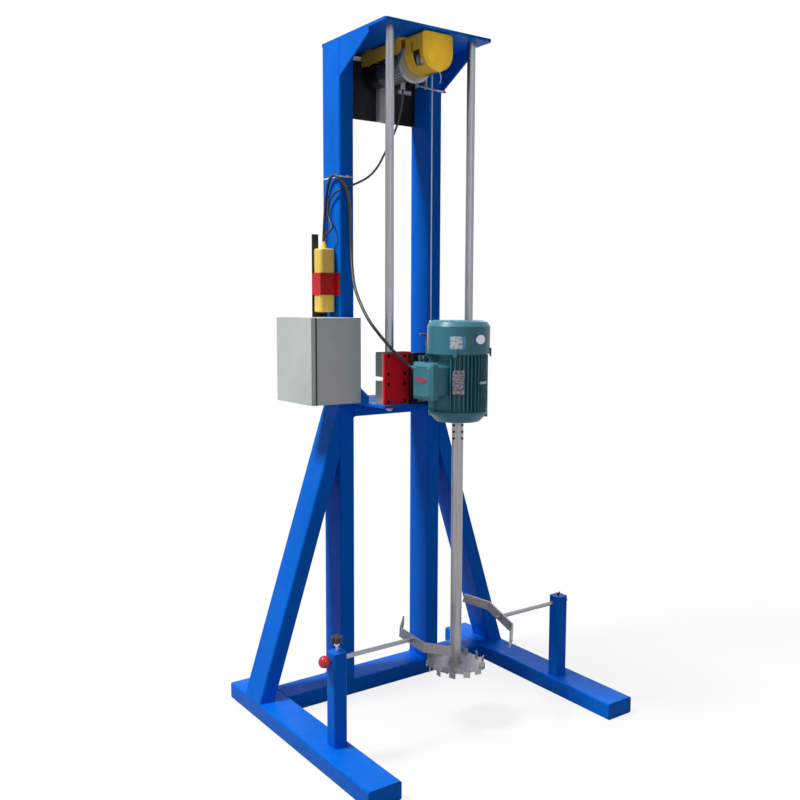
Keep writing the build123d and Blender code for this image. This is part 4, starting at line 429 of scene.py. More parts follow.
finishes = {
    "frame_blue": enamel("frame_blue", srgb(0, 111, 229), 0.36, 0.3, specular=0.05, grime=0.12),
    "ground_steel": bare_metal("ground_steel", srgb(152, 154, 162), 0.34, LINE_Z, 140),
    "box_grey": powder_coat("box_grey", srgb(204, 211, 208), 0.45),
    "gear_plastic": plastic("gear_plastic", srgb(205, 206, 200), 0.45),
    "gland_black": plastic("gland_black", srgb(38, 38, 40), 0.5),
    "clamp_red": enamel("plate_red", srgb(250, 30, 48), 0.36, 0.2),
    "pendant_yellow": plastic("pendant_yellow", srgb(255, 212, 92), 0.42),
    "button_white": plastic("button_white", srgb(225, 225, 222), 0.35),
    "button_black": plastic("button_black", srgb(36, 36, 38), 0.35),
    "hoist_yellow": enamel("hoist_yellow", srgb(253, 200, 56), 0.38, 0.3),
    "alloy": bare_metal("alloy", srgb(160, 162, 162), 0.42, EVEN, 260),
    "black_plastic": plastic("black_plastic", srgb(26, 26, 28), 0.45),
    "rope_steel": bare_metal("rope_steel", srgb(150, 156, 176), 0.5, EVEN, 500),
    "hook_paint": enamel("hook_paint", srgb(205, 120, 130), 0.4, 0.3),
    "cable_black": plastic("cable_black", srgb(24, 24, 26), 0.4, 0.15),
    "tie_white": plastic("tie_white", srgb(232, 232, 230), 0.4),
    "ball_red": plastic("ball_red", srgb(214, 24, 40), 0.16, 0.03),
    "zinc_steel": bare_metal("zinc_steel", srgb(178, 180, 186), 0.42, EVEN, 120),
    "block_alloy": bare_metal("block_alloy", srgb(170, 172, 172), 0.36, LINE_Z, 120),
    "plate_dark": enamel("plate_dark", srgb(32, 34, 42), 0.45, 0.2),
    "screw_black": bare_metal("screw_black", srgb(40, 40, 42), 0.45, EVEN, 300),
    "bush_dark": plastic("bush_dark", srgb(42, 42, 44), 0.5),
    "motor_teal": cast_paint("motor_teal", srgb(64, 132, 150)),
    "core_steel": bare_metal("core_steel", srgb(120, 118, 116), 0.5, LINE_Z, 600),
    "fan_plastic": plastic("fan_plastic", srgb(40, 42, 44), 0.5),
    "bright_steel": bare_metal("bright_steel", srgb(156, 154, 158), 0.34, LINE_Z, 160),
    "panel_dark": rear_panel_paint(),
}
holder_finish = holder_paint()


def lock_knob_finish():
    """Black moulded grip on a bright screw and washer."""
    knob = plastic("lock_knob", srgb(30, 30, 32), 0.45)
    screw = knob.math("LESS_THAN", knob.axis(2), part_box("left_lock_knob")[1].z - GRIP_DEEP)
    knob.link(knob.mix(screw, srgb(30, 30, 32), srgb(196, 198, 202)), "Base Color")
    knob.link(screw, "Metallic")
    return knob


jaw_finish = bare_metal("jaw_steel", srgb(142, 140, 142), 0.46, EVEN, 90)
NODE_FINISH = {
    "pendant_holder": holder_finish,
    "left_lock_knob": lock_knob_finish(),
    "left_jaw": jaw_finish,
    "right_jaw": jaw_finish,
}


def dress_nodes():
    """Every CAD node takes the finish that the record names for it."""
    for part in record["subparts"]:
        piece = nodes[part["node"]]
        finish = NODE_FINISH.get(part["node"], finishes[part["material_slot"]])
        for place in piece.material_slots:
            place.material = finish.material


dress_nodes()
for piece in (motor_cable, pendant_cable):
    piece.data.materials.append(finishes["cable_black"].material)

# ---------------------------------------------------------------- shared shapes
PATCH_STEPS = 4
SCREW_SIDES = 20


def add_piece(name, bm, body, surface, sharp=35):
    """A finished mesh piece that rides on a body."""
    bmesh.ops.recalc_face_normals(bm, faces=bm.faces)
    mesh = bpy.data.meshes.new(name)
    bm.to_mesh(mesh)
    bm.free()
    mesh.shade_smooth()
    mesh.set_sharp_from_angle(angle=math.radians(sharp))
    mesh.materials.append(surface.material)
    piece = bpy.data.objects.new(name, mesh)
    bpy.context.collection.objects.link(piece)
    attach(piece, body)
    return piece


def skin(bm, rings):
    """Closed solid through rings of points, each as long as the next, with a face on both end rings."""
    layers = [[bm.verts.new(point) for point in ring] for ring in rings]
    for lower, upper in zip(layers, layers[1:]):
        for index in range(len(lower)):
            after = (index + 1) % len(lower)
            bm.faces.new((lower[index], lower[after], upper[after], upper[index]))
    bm.faces.new(layers[0])
    bm.faces.new(layers[-1])


def circle(centre, across, other, radius, sides):
    """Points of a circle in the plane of two directions at right angles."""
    turns = [2 * math.pi * side / sides for side in range(sides)]
    return [centre + radius * (math.cos(turn) * across + math.sin(turn) * other) for turn in turns]


def tube(bm, points, radii, sides):
    """Round tube along points, with one radius or one for each point."""
    points = [Vector(point) for point in points]
    if not hasattr(radii, "__len__"):
        radii = [radii] * len(points)
    across = (points[1] - points[0]).normalized().orthogonal().normalized()
    rings = []
    for index, (point, radius) in enumerate(zip(points, radii)):
        before = points[max(index - 1, 0)]
        after = points[min(index + 1, len(points) - 1)]
        heading = (after - before).normalized()
        across = (across - heading * across.dot(heading)).normalized()
        rings.append(circle(point, across, heading.cross(across), radius, sides))
    skin(bm, rings)


def lathe(bm, centre, axis, profile, sides):
    """Solid of revolution: profile holds (distance along the axis, radius) pairs."""
    axis = Vector(axis).normalized()
    across = axis.orthogonal().normalized()
    other = axis.cross(across)
    rings = []
    for height, radius in profile:
        rings.append(circle(Vector(centre) + axis * height, across, other, radius, sides))
    skin(bm, rings)


def block(bm, low, high):
    """Box between two corners."""
    low, high = Vector(low), Vector(high)
    corners = [(low.x, low.y), (high.x, low.y), (high.x, high.y), (low.x, high.y)]
    skin(bm, [[(x, y, z) for x, y in corners] for z in (low.z, high.z)])


def break_edges(bm, width):
    """Small rounding on every edge."""
    bmesh.ops.bevel(bm, geom=bm.edges[:], offset=width, segments=2, affect="EDGES")


def pan_head(bm, place, axis, radius, height):
    """Low domed screw head."""
    profile = [(0, radius), (0.45 * height, radius), (0.8 * height, 0.86 * radius), (height, 0.55 * radius)]
    lathe(bm, place, axis, profile, SCREW_SIDES)


def wrapped_patch(bm, centre, radius, mid, level, outline, thickness):
    """Thin plate laid on an upright cylinder; outline holds (across, up) from its middle, in metres."""
    def layer(share, reach):
        points = []
        for across, up in outline:
            turn = mid + share * across / radius
            x = centre[0] + reach * math.cos(turn)
            y = centre[1] + reach * math.sin(turn)
            points.append((x, y, level + share * up))
        return points

    shares = [step / PATCH_STEPS for step in range(1, PATCH_STEPS + 1)]
    back = [layer(share, radius) for share in shares]
    front = [layer(share, radius + thickness) for share in reversed(shares)]
    skin(bm, back + front)


def oval(half_across, half_up, count=36):
    """Points of an ellipse."""
    turns = [2 * math.pi * index / count for index in range(count)]
    return [(half_across * math.cos(turn), half_up * math.sin(turn)) for turn in turns]


def rounded(half_across, half_up, corner, steps=4, edge=6):
    """Points of a rectangle with rounded corners and divided sides."""
    arcs = []
    for right, up, start in ((1, 1, 0), (-1, 1, 90), (-1, -1, 180), (1, -1, 270)):
        middle = (right * (half_across - corner), up * (half_up - corner))
        turns = [math.radians(start + 90 * step / steps) for step in range(steps + 1)]
        arcs.append([
            (middle[0] + corner * math.cos(turn), middle[1] + corner * math.sin(turn)) for turn in turns
        ])
    points = []
    for arc, following in zip(arcs, arcs[1:] + arcs[:1]):
        first, last = Vector(arc[-1]), Vector(following[0])
        points += arc
        points += [tuple(first.lerp(last, step / edge)) for step in range(1, edge)]
    return points


# ---------------------------------------------------------------- motor
motor_low, motor_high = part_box("motor_shaft")
MOTOR_AXIS = ((motor_low.x + motor_high.x) / 2, (motor_low.y + motor_high.y) / 2)
COWL_RADIUS = 0.108
FIN_RADIUS = 0.102
# Plates on the fins are let into their tips by this much
LET_IN = 0.0002
cowl_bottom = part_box("fan_cowl")[0].z + 0.008
barrel_low, barrel_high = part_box("motor_housing")
barrel_middle = (barrel_low.z + barrel_high.z) / 2

BADGE_TURN = math.radians(-130.5)
BADGE_LEVEL = cowl_bottom + 0.0405
BADGE_HALF = (0.028, 0.0205)
BADGE_FILM = 0.0004
# The badge's blue ends start at these distances from its middle, along x
BADGE_RIGHT_END = 0.0125
BADGE_LEFT_END = -0.0165
DISC_TURN = math.radians(-85)
DISC_LEVEL = cowl_bottom + 0.0505
DISC_HALF = (0.0205, 0.0155)

PLATE_TURN = math.radians(-128)
PLATE_LEVEL = barrel_middle + 0.006
PLATE_HALF = (0.0195, 0.040)
PLATE_THICK = 0.0012
RIVET_ACROSS = 0.0165
RIVET_UP = 0.037
PLATE_ROWS_PER_METRE = 92.0
PLATE_LINE_SHARE = 0.13

STRAP_TURN = math.radians(-72)
STRAP_LEVEL = barrel_middle + 0.002
STRAP_HALF = (0.0215, 0.0042)
STRAP_THICK = 0.0016
STRAP_SCREW_ACROSS = 0.015

# The lid's outline, step by step: (depth, inset all round, corner radius)
LID_RIM_FROM_BACK = (
    (0.0, 0.0, 0.005),
    (0.0036, 0.0, 0.005),
    (0.0044, 0.0008, 0.005),
    (0.0050, 0.0028, 0.0055),
)
LID_FIELD_DEPTH = 0.0016
LID_FRONT_FROM_FACE = (
    (0.0026, 0.0105, 0.0095),
    (0.0010, 0.0128, 0.0095),
    (0.0007, 0.0150, 0.0090),
    (LID_FIELD_DEPTH, 0.0160, 0.0085),
)
LID_SCREW_INSET = 0.0215
LID_SCREW_DEPTH = 0.0018
LID_OVAL_HALF = (0.035, 0.0115)
LID_OVAL_UP = 0.004
# The oval's edge, step by step: (share of its size, height above the lid's field)
LID_OVAL_EDGE = ((1.0, 0.0), (1.0, 0.0006), (0.97, 0.0010))


def add_cowl_badges():
    """Bare adhesive badges on the cowl: a pale rectangle with blue ends, and a silver disc."""
    bm = bmesh.new()
    badge = rounded(*BADGE_HALF, 0.002)
    wrapped_patch(bm, MOTOR_AXIS, COWL_RADIUS, BADGE_TURN, BADGE_LEVEL, badge, BADGE_FILM)
    add_piece("cowl_badge", bm, "carriage", badge_finish)
    bm = bmesh.new()
    wrapped_patch(bm, MOTOR_AXIS, COWL_RADIUS, DISC_TURN, DISC_LEVEL, oval(*DISC_HALF), BADGE_FILM)
    add_piece("cowl_disc", bm, "carriage", disc_finish)


def head_on_fins(bm, turn, level, proud, radius, height):
    """Screw or rivet head outside the fins' tips, looking away from the motor's axis."""
    out = Vector((math.cos(turn), math.sin(turn), 0))
    pan_head(bm, Vector((*MOTOR_AXIS, level)) + out * (FIN_RADIUS + proud), out, radius, height)


def add_rating_plate():
    """Bare rating plate held on the fins by four rivets."""
    bm = bmesh.new()
    plate = rounded(*PLATE_HALF, 0.003)
    wrapped_patch(bm, MOTOR_AXIS, FIN_RADIUS - LET_IN, PLATE_TURN, PLATE_LEVEL, plate, PLATE_THICK)
    add_piece("rating_plate", bm, "carriage", rating_finish)
    bm = bmesh.new()
    for across in (-RIVET_ACROSS, RIVET_ACROSS):
        for up in (-RIVET_UP, RIVET_UP):
            head_on_fins(bm, PLATE_TURN + across / FIN_RADIUS, PLATE_LEVEL + up, 0.0008, 0.0017, 0.0012)
    add_piece("rating_plate_rivets", bm, "carriage", finishes["alloy"])


def add_earth_strap():
    """Short bright earthing strap across the fins, with its two screws."""
    bm = bmesh.new()
    strap = rounded(*STRAP_HALF, 0.002, 3, 4)
    wrapped_patch(bm, MOTOR_AXIS, FIN_RADIUS - LET_IN, STRAP_TURN, STRAP_LEVEL, strap, STRAP_THICK)
    for across in (-STRAP_SCREW_ACROSS, STRAP_SCREW_ACROSS):
        head_on_fins(bm, STRAP_TURN + across / FIN_RADIUS, STRAP_LEVEL, 0.001, 0.0032, 0.0024)
    add_piece("earth_strap", bm, "carriage", finishes["rope_steel"])


def add_lid():
    """Cast lid of the terminal box: deep bevel, proud rim, four screws and a bare raised oval."""
    low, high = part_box("terminal_lid")
    middle = ((low.y + high.y) / 2, (low.z + high.z) / 2)
    half = ((high.y - low.y) / 2, (high.z - low.z) / 2)
    steps = [(high.x - depth, inset, corner) for depth, inset, corner in LID_RIM_FROM_BACK]
    steps += [(low.x + depth, inset, corner) for depth, inset, corner in LID_FRONT_FROM_FACE]
    bm = bmesh.new()
    rings = []
    for x, inset, corner in steps:
        outline = rounded(half[0] - inset, half[1] - inset, corner)
        rings.append([(x, middle[0] + across, middle[1] + up) for across, up in outline])
    skin(bm, rings)
    lid = add_piece("terminal_lid_cast", bm, "carriage", finishes["motor_teal"], 30)
    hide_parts("terminal_lid")
    bm = bmesh.new()
    for y in (low.y + LID_SCREW_INSET, high.y - LID_SCREW_INSET):
        for z in (low.z + LID_SCREW_INSET, high.z - LID_SCREW_INSET):
            pan_head(bm, (low.x + LID_SCREW_DEPTH, y, z), (-1, 0, 0), 0.0034, 0.0014)
    add_piece("lid_screws", bm, "carriage", lid_screw_finish)
    bm = bmesh.new()
    rings = []
    for share, out in LID_OVAL_EDGE:
        x = low.x + LID_FIELD_DEPTH - out
        rings.append([
            (x, middle[0] + share * across, middle[1] + LID_OVAL_UP + share * up)
            for across, up in oval(*LID_OVAL_HALF)
        ])
    skin(bm, rings)
    add_piece("lid_oval", bm, "carriage", oval_finish)


def badge_surface():
    """Pale badge with soft blue fields at its two ends and faint worn tone between them."""
    badge = plastic("badge_white", srgb(200, 222, 236), 0.32, 0.02)
    middle_x = MOTOR_AXIS[0] + COWL_RADIUS * math.cos(BADGE_TURN)
    away = badge.math("SUBTRACT", badge.axis(0), middle_x)
    right_end = badge.math("GREATER_THAN", away, BADGE_RIGHT_END)
    left_end = badge.math("LESS_THAN", away, BADGE_LEFT_END)
    ends = badge.math("MAXIMUM", right_end, left_end)
    cloud = badge.spread(badge.noise(130, 4, 0.7), 0.48, 0.62)
    pale = badge.mix(cloud, srgb(220, 230, 238), srgb(128, 112, 118))
    badge.link(badge.mix(ends, pale, srgb(52, 150, 222)), "Base Color")
    return badge


def rating_surface():
    """Dark enamelled plate with bright ruled fields, rubbed and dusty."""
    plate = Surface("rating_plate", srgb(60, 60, 64), 0.4, metallic=0.6)
    level = plate.math("SUBTRACT", plate.axis(2), PLATE_LEVEL)
    row = plate.math("FRACT", plate.math("MULTIPLY", level, PLATE_ROWS_PER_METRE), 0.0)
    line = plate.math("LESS_THAN", row, PLATE_LINE_SHARE)
    rubbed = plate.spread(plate.noise(330, 4, 0.75), 0.5, 0.6, 0.0, 0.9)
    patch = plate.spread(plate.noise(110, 3, 0.6), 0.4, 0.6)
    tone = plate.mix(patch, srgb(34, 32, 40), srgb(92, 84, 92))
    base = plate.mix(rubbed, tone, srgb(190, 184, 192))
    ruled = plate.math("MULTIPLY", line, patch)
    plate.link(plate.mix(ruled, base, srgb(150, 148, 152)), "Base Color")
    plate.bump(line, 0.3, 0.0003)
    return plate


lid_screw_finish = bare_metal("lid_screw_steel", srgb(120, 140, 144), 0.4, EVEN, 200)
badge_finish = badge_surface()
disc_finish = bare_metal("disc_silver", srgb(196, 200, 212), 0.4, EVEN, 300)
rating_finish = rating_surface()
oval_finish = enamel("oval_red", srgb(150, 92, 104), 0.4, 0.2)
add_cowl_badges()
add_rating_plate()
add_earth_strap()
add_lid()

# ---------------------------------------------------------------- hoist
rope_low, rope_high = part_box("wire_rope")
ROPE_PLACE = ((rope_low.x + rope_high.x) / 2, (rope_low.y + rope_high.y) / 2)
case_low, case_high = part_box("hoist_housing")
drum_low, drum_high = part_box("hoist_drum")
DRUM_AXIS = ((drum_low.x + drum_high.x) / 2, (drum_low.z + drum_high.z) / 2)
ROPE_RADIUS = 0.0025
ROPE_STRANDS = 6
ROPE_TURNS_PER_METRE = 34
STRAND_RADIUS = 0.0009
STRAND_REACH = 0.0016
STRAND_STEPS_PER_TURN = 10
# The rope's turns on the drum lie this far from the drum's axis
DRUM_ROPE_REACH = 0.0285
DRUM_ROPE_PITCH = 0.0053
DRUM_ROPE_TURNS = 5
DRUM_ROPE_STEPS_PER_TURN = 24

HOOK_BOWL_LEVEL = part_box("rope_hook")[0].z + 0.006
HOOK_RADIUS = 0.0060
HOOK_TAPER = 0.0026
# The taper starts at the first share of the hook's points and takes up the second share
HOOK_TAPER_FROM = 0.50
HOOK_TAPER_OVER = 0.25
# Centre line from the shank to the curled point: (across, up) from the middle of the bowl
HOOK_LINE = (
    (0.0, 0.058), (0.0, 0.050), (0.010, 0.043), (0.0225, 0.035), (0.0235, 0.018), (0.020, 0.003),
    (0.010, -0.0002), (0.0, 0.0), (-0.010, -0.0002), (-0.0170, 0.005), (-0.0170, 0.018), (-0.0145, 0.030),
    (-0.0175, 0.0395), (-0.0270, 0.0445), (-0.0380, 0.0455), (-0.0480, 0.0455),
)
HOOK_SLEEVE_UP = 0.056
HOOK_SLEEVE_PROFILE = ((0, 0.0060), (0.003, 0.0080), (0.031, 0.0080), (0.036, 0.0048))
LATCH_RADIUS = 0.0012
LATCH_HALF_WIDE = 0.0045
LATCH_LINE = ((0.004, 0.044), (-0.005, 0.0385), (-0.0125, 0.030))

BOSS_SUNK = 0.0004
BOSS_PROFILE = ((0, 0.0215), (0.0006, 0.0212), (0.0017, 0.0185), (0.0021, 0.0120))
CASE_SCREW_INSET = 0.016
CASE_SCREW_UP = 0.030
LEAD_RADIUS = 0.0016
# The white lead under the case: (x from the rope, y from the case's front, z from its underside)
LEAD_LINE = (
    (0.002, 0.010, 0.004),
    (0.008, 0.009, -0.006),
    (0.0092, 0.009, -0.020),
    (0.0082, 0.010, -0.031),
    (0.0062, 0.011, -0.037),
)
LEVER_SLEEVE_PROFILE = ((0, 0.0036), (0.001, 0.0042), (0.009, 0.0042), (0.010, 0.0036))


def add_wire_rope():
    """Six strands in a helix, from the hook's sleeve to the drum."""
    bottom, top = rope_low.z, rope_high.z
    steps = round((top - bottom) * ROPE_TURNS_PER_METRE * STRAND_STEPS_PER_TURN)
    bm = bmesh.new()
    for strand in range(ROPE_STRANDS):
        points = []
        for step in range(steps + 1):
            turn = 2 * math.pi * (step / STRAND_STEPS_PER_TURN + strand / ROPE_STRANDS)
            points.append((
                ROPE_PLACE[0] + STRAND_REACH * math.cos(turn),
                ROPE_PLACE[1] + STRAND_REACH * math.sin(turn),
                bottom + (top - bottom) * step / steps,
            ))
        tube(bm, points, STRAND_RADIUS, 6)
    rope = add_piece("wire_rope_strands", bm, "root", finishes["rope_steel"], 60)
    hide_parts("wire_rope")
    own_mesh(rope)


def add_drum_rope():
    """Turns of rope on the drum beside the one that leaves it."""
    first_y = ROPE_PLACE[1] + DRUM_ROPE_PITCH
    points = []
    for step in range(DRUM_ROPE_TURNS * DRUM_ROPE_STEPS_PER_TURN + 1):
        turn = 2 * math.pi * step / DRUM_ROPE_STEPS_PER_TURN
        points.append((
            DRUM_AXIS[0] + DRUM_ROPE_REACH * math.cos(turn),
            first_y + DRUM_ROPE_PITCH * step / DRUM_ROPE_STEPS_PER_TURN,
            DRUM_AXIS[1] + DRUM_ROPE_REACH * math.sin(turn),
        ))
    bm = bmesh.new()
    tube(bm, points, ROPE_RADIUS * 0.98, 8)
    add_piece("drum_rope_turns", bm, "drum", finishes["rope_steel"], 60)


def in_hook_plane(line, side=0.0):
    """Places of (across, up) points beside the rope's line, on the hook's middle plane or a side of it."""
    x, y = ROPE_PLACE
    return [(x + across, y + side, HOOK_BOWL_LEVEL + up) for across, up in line]


def add_hook():
    """Forged hook with a long curled point, its spring latch and the pressed sleeve above it."""
    line = route_line(in_hook_plane(HOOK_LINE))
    radii = []
    for index in range(len(line)):
        past = index / (len(line) - 1) - HOOK_TAPER_FROM
        thinner = HOOK_TAPER * min(1.0, past / HOOK_TAPER_OVER) if past >= 0 else 0.0
        radii.append(HOOK_RADIUS - thinner)
    bm = bmesh.new()
    tube(bm, line, radii, 14)
    hook = add_piece("hook_forging", bm, "carriage", finishes["hook_paint"], 50)
    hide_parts("rope_hook")
    bm = bmesh.new()
    sleeve_place = (*ROPE_PLACE, HOOK_BOWL_LEVEL + HOOK_SLEEVE_UP)
    lathe(bm, sleeve_place, (0, 0, 1), HOOK_SLEEVE_PROFILE, 24)
    add_piece("hook_sleeve", bm, "carriage", finishes["alloy"])
    bm = bmesh.new()
    arms = [in_hook_plane(LATCH_LINE, side) for side in (-LATCH_HALF_WIDE, LATCH_HALF_WIDE)]
    for arm in arms:
        tube(bm, arm, LATCH_RADIUS, 8)
    tube(bm, [arm[-1] for arm in arms], LATCH_RADIUS, 8)
    add_piece("hook_latch", bm, "carriage", finishes["zinc_steel"])


def add_case_details():
    """Pressed boss over the drum bearing, screws on the case's right side and the white lead under it."""
    bm = bmesh.new()
    centre = (DRUM_AXIS[0], case_low.y + BOSS_SUNK, DRUM_AXIS[1])
    lathe(bm, centre, (0, -1, 0), BOSS_PROFILE, 40)
    add_piece("case_boss", bm, "root", finishes["hoist_yellow"], 60)
    bm = bmesh.new()
    for y in (case_low.y + CASE_SCREW_INSET, case_high.y - CASE_SCREW_INSET):
        pan_head(bm, (case_high.x, y, DRUM_AXIS[1] + CASE_SCREW_UP), (1, 0, 0), 0.0035, 0.0020)
    add_piece("case_screws", bm, "root", finishes["zinc_steel"])
    bm = bmesh.new()
    lead = [(ROPE_PLACE[0] + x, case_low.y + y, case_low.z + z) for x, y, z in LEAD_LINE]
    tube(bm, route_line(lead), LEAD_RADIUS, 10)
    add_piece("case_lead", bm, "root", finishes["tie_white"], 60)


def add_lever_sleeve():
    """Black sleeve on the cross wire of the limit lever's fork."""
    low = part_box("limit_lever")[0]
    start = (ROPE_PLACE[0] + 0.0035, low.y + 0.0030, low.z + 0.0028)
    bm = bmesh.new()
    lathe(bm, start, (1, 0, 0), LEVER_SLEEVE_PROFILE, 16)
    add_piece("lever_sleeve", bm, "lever", finishes["black_plastic"])


add_wire_rope()
add_drum_rope()
add_hook()
add_case_details()
add_lever_sleeve()

# ---------------------------------------------------------------- cable tie, box edging, welds and edges
# Low and high corners of the tie's head and tail, from the middle of its strap's front
TIE_HEAD = ((-0.005, -0.0030, -0.0040), (0.005, 0.0012, 0.0040))
TIE_TAIL = ((0.004, -0.0022, -0.0020), (0.019, -0.0010, 0.0020))
EDGING_PROUD = 0.0004
EDGING_WIDE = 0.0022
EDGING_COVER = 0.0052
EDGING_FRONT = 0.0016
POST_SIDE = 0.050
WELD_STEP = 0.0028
POST_WELD = 0.0024
COLUMN_WELD = 0.0026
MEMBER_WELD = 0.0024
BEAM_TOP_WELD = 0.0040
BRACE_WELD = 0.0024
# The braces' welds stay this far inside the object's sides
BRACE_WELD_INSET = 0.0030
# A bead under a member that reaches below the rails' top lies this far above the member's underside
FOOT_RISE = 0.003
BEAM_TOP_WELD_DROP = 0.0026
BEAM_TOP_WELD_END = 0.004


def add_tie_head():
    """Locking head and cut tail of the cable tie on the left column."""
    low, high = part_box("cable_ties")
    front = ((low.x + high.x) / 2, low.y, (low.z + high.z) / 2)
    bm = bmesh.new()
    for corners in (TIE_HEAD, TIE_TAIL):
        block(bm, *[[start + away for start, away in zip(front, corner)] for corner in corners])
    break_edges(bm, 0.0006)
    add_piece("tie_head", bm, "root", finishes["tie_white"])


def add_box_seal():
    """Black rubber edging clipped over the rim of the box's opening, which the door closes on."""
    low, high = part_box("control_box")
    y0, y1 = low.y - EDGING_PROUD, high.y + EDGING_PROUD
    z0, z1 = low.z - EDGING_PROUD, high.z + EDGING_PROUD
    front, back = low.x - EDGING_FRONT, low.x + EDGING_COVER
    bm = bmesh.new()
    block(bm, (front, y0, z0), (back, y1, z0 + EDGING_WIDE))
    block(bm, (front, y0, z1 - EDGING_WIDE), (back, y1, z1))
    block(bm, (front, y0, z0 + EDGING_WIDE), (back, y0 + EDGING_WIDE, z1 - EDGING_WIDE))
    block(bm, (front, y1 - EDGING_WIDE, z0 + EDGING_WIDE), (back, y1, z1 - EDGING_WIDE))
    break_edges(bm, 0.0003)
    add_piece("box_edge_seal", bm, "root", finishes["gland_black"])


def weld_ripple(bm, corners, radius):
    """Weld bead along straight runs between corners, with the ripples of a hand-laid weld."""
    points, radii = [], []
    for start, end in zip(corners, corners[1:]):
        start, end = Vector(start), Vector(end)
        count = max(4, round((end - start).length / WELD_STEP))
        for step in range(count):
            points.append(start.lerp(end, step / count))
            coarse = 0.14 * math.sin(len(points) * 1.7)
            fine = 0.08 * math.sin(len(points) * 0.61)
            radii.append(radius * (1.0 + coarse + fine))
    points.append(Vector(corners[-1]))
    radii.append(radius * 0.8)
    radii[0] = radius * 0.7
    tube(bm, points, radii, 8)


def rectangle(x0, x1, y0, y1, z):
    """Corners of a level rectangle, ending with the first one again."""
    return [(x0, y0, z), (x1, y0, z), (x1, y1, z), (x0, y1, z), (x0, y0, z)]


def footprint(node, level, reach=0.0006):
    """Rectangle that holds all of a node's points at one level."""
    piece = nodes[node]
    places = [piece.matrix_world @ vertex.co for vertex in piece.data.vertices]
    touching = [place for place in places if abs(place.z - level) < reach]
    across = [place.x for place in touching]
    along = [place.y for place in touching]
    return rectangle(min(across), max(across), min(along), max(along), level)


def add_welds():
    """Fillet welds round the feet of the posts, columns, braces and cross members."""
    rail_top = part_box("left_rail")[1].z
    bm = bmesh.new()
    post_low, post_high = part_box("clamp_posts")
    post_front = max(post_low.y, post_high.y - POST_SIDE)
    for left in (post_low.x, post_high.x - POST_SIDE):
        weld_ripple(bm, rectangle(left, left + POST_SIDE, post_front, post_high.y, rail_top), POST_WELD)
    for column in ("left_column", "right_column"):
        corners = footprint(column, rail_top)
        weld_ripple(bm, [corners[1], corners[2]], COLUMN_WELD)
        weld_ripple(bm, [corners[3], corners[4]], COLUMN_WELD)
    for node in ("mid_crossbar", "cross_beam"):
        low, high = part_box(node)
        foot = low.z + (FOOT_RISE if low.z < rail_top else 0.0)
        for x in (low.x, high.x):
            sides_and_foot = [(x, low.y, high.z), (x, low.y, foot), (x, high.y, foot), (x, high.y, high.z)]
            weld_ripple(bm, sides_and_foot, MEMBER_WELD)
            if node == "cross_beam":
                level = high.z - BEAM_TOP_WELD_DROP
                ends = [(x, low.y + BEAM_TOP_WELD_END, level), (x, high.y - BEAM_TOP_WELD_END, level)]
                weld_ripple(bm, ends, BEAM_TOP_WELD)
    edge = cad_high.x - BRACE_WELD_INSET
    for node in ("left_brace", "right_brace"):
        corners = [(max(-edge, min(edge, x)), y, z) for x, y, z in footprint(node, rail_top)]
        weld_ripple(bm, corners, BRACE_WELD)
    add_piece("frame_welds", bm, "root", finishes["frame_blue"], 70)


def round_edges(names, width=0.0007):
    """Small broken edges on plates and flat bars, as after deburring and paint."""
    for name in names:
        edge = nodes[name].modifiers.new("broken_edges", "BEVEL")
        edge.width = width
        edge.segments = 2
        edge.limit_method = "ANGLE"
        edge.angle_limit = math.radians(50)
        edge.use_clamp_overlap = True


add_tie_head()
add_box_seal()
add_welds()
round_edges(("shelf_plate", "gusset_plates", "top_plate", "face_plates", "carriage_plate"))

# ---------------------------------------------------------------- stage and light
WORLD_COLOUR = (1.0, 1.0, 1.0, 1.0)
WORLD_LIGHT = 0.14
FLOOR_SIZE = 16.0
FLOOR_NEAR = 0.7
FLOOR_FAR = 3.2
FLOOR_SHADOW_SHARE = 0.16
FLOOR_SHOWN = 0.9
FLOOR_BOUNCE = 0.3


def seen_as_background(tree):
    """1 where the camera, a mirror or glass sees the surface, and 0 where it lights the object."""
    path = tree.nodes.new("ShaderNodeLightPath")
    share = path.outputs["Is Camera Ray"]
    for name in ("Is Glossy Ray", "Is Transmission Ray"):
        either = tree.nodes.new("ShaderNodeMath")
        either.operation = "MAXIMUM"
        tree.links.new(share, either.inputs[0])
        tree.links.new(path.outputs[name], either.inputs[1])
        share = either.outputs[0]
    return share


def make_world():
    """Even soft light, with a white background behind the object."""
    world = bpy.data.worlds.new("world")
    bpy.context.scene.world = world
    world.use_nodes = True
    tree = world.node_tree
    tree.nodes.clear()
    out = tree.nodes.new("ShaderNodeOutputWorld")
    mix = tree.nodes.new("ShaderNodeMixShader")
    soft = tree.nodes.new("ShaderNodeBackground")
    soft.inputs["Color"].default_value = WORLD_COLOUR
    soft.inputs["Strength"].default_value = WORLD_LIGHT
    white = tree.nodes.new("ShaderNodeBackground")
    white.inputs["Color"].default_value = WORLD_COLOUR
    white.inputs["Strength"].default_value = 1.0
    tree.links.new(seen_as_background(tree), mix.inputs["Fac"])
    tree.links.new(soft.outputs[0], mix.inputs[1])
    tree.links.new(white.outputs[0], mix.inputs[2])
    tree.links.new(mix.outputs[0], out.inputs["Surface"])


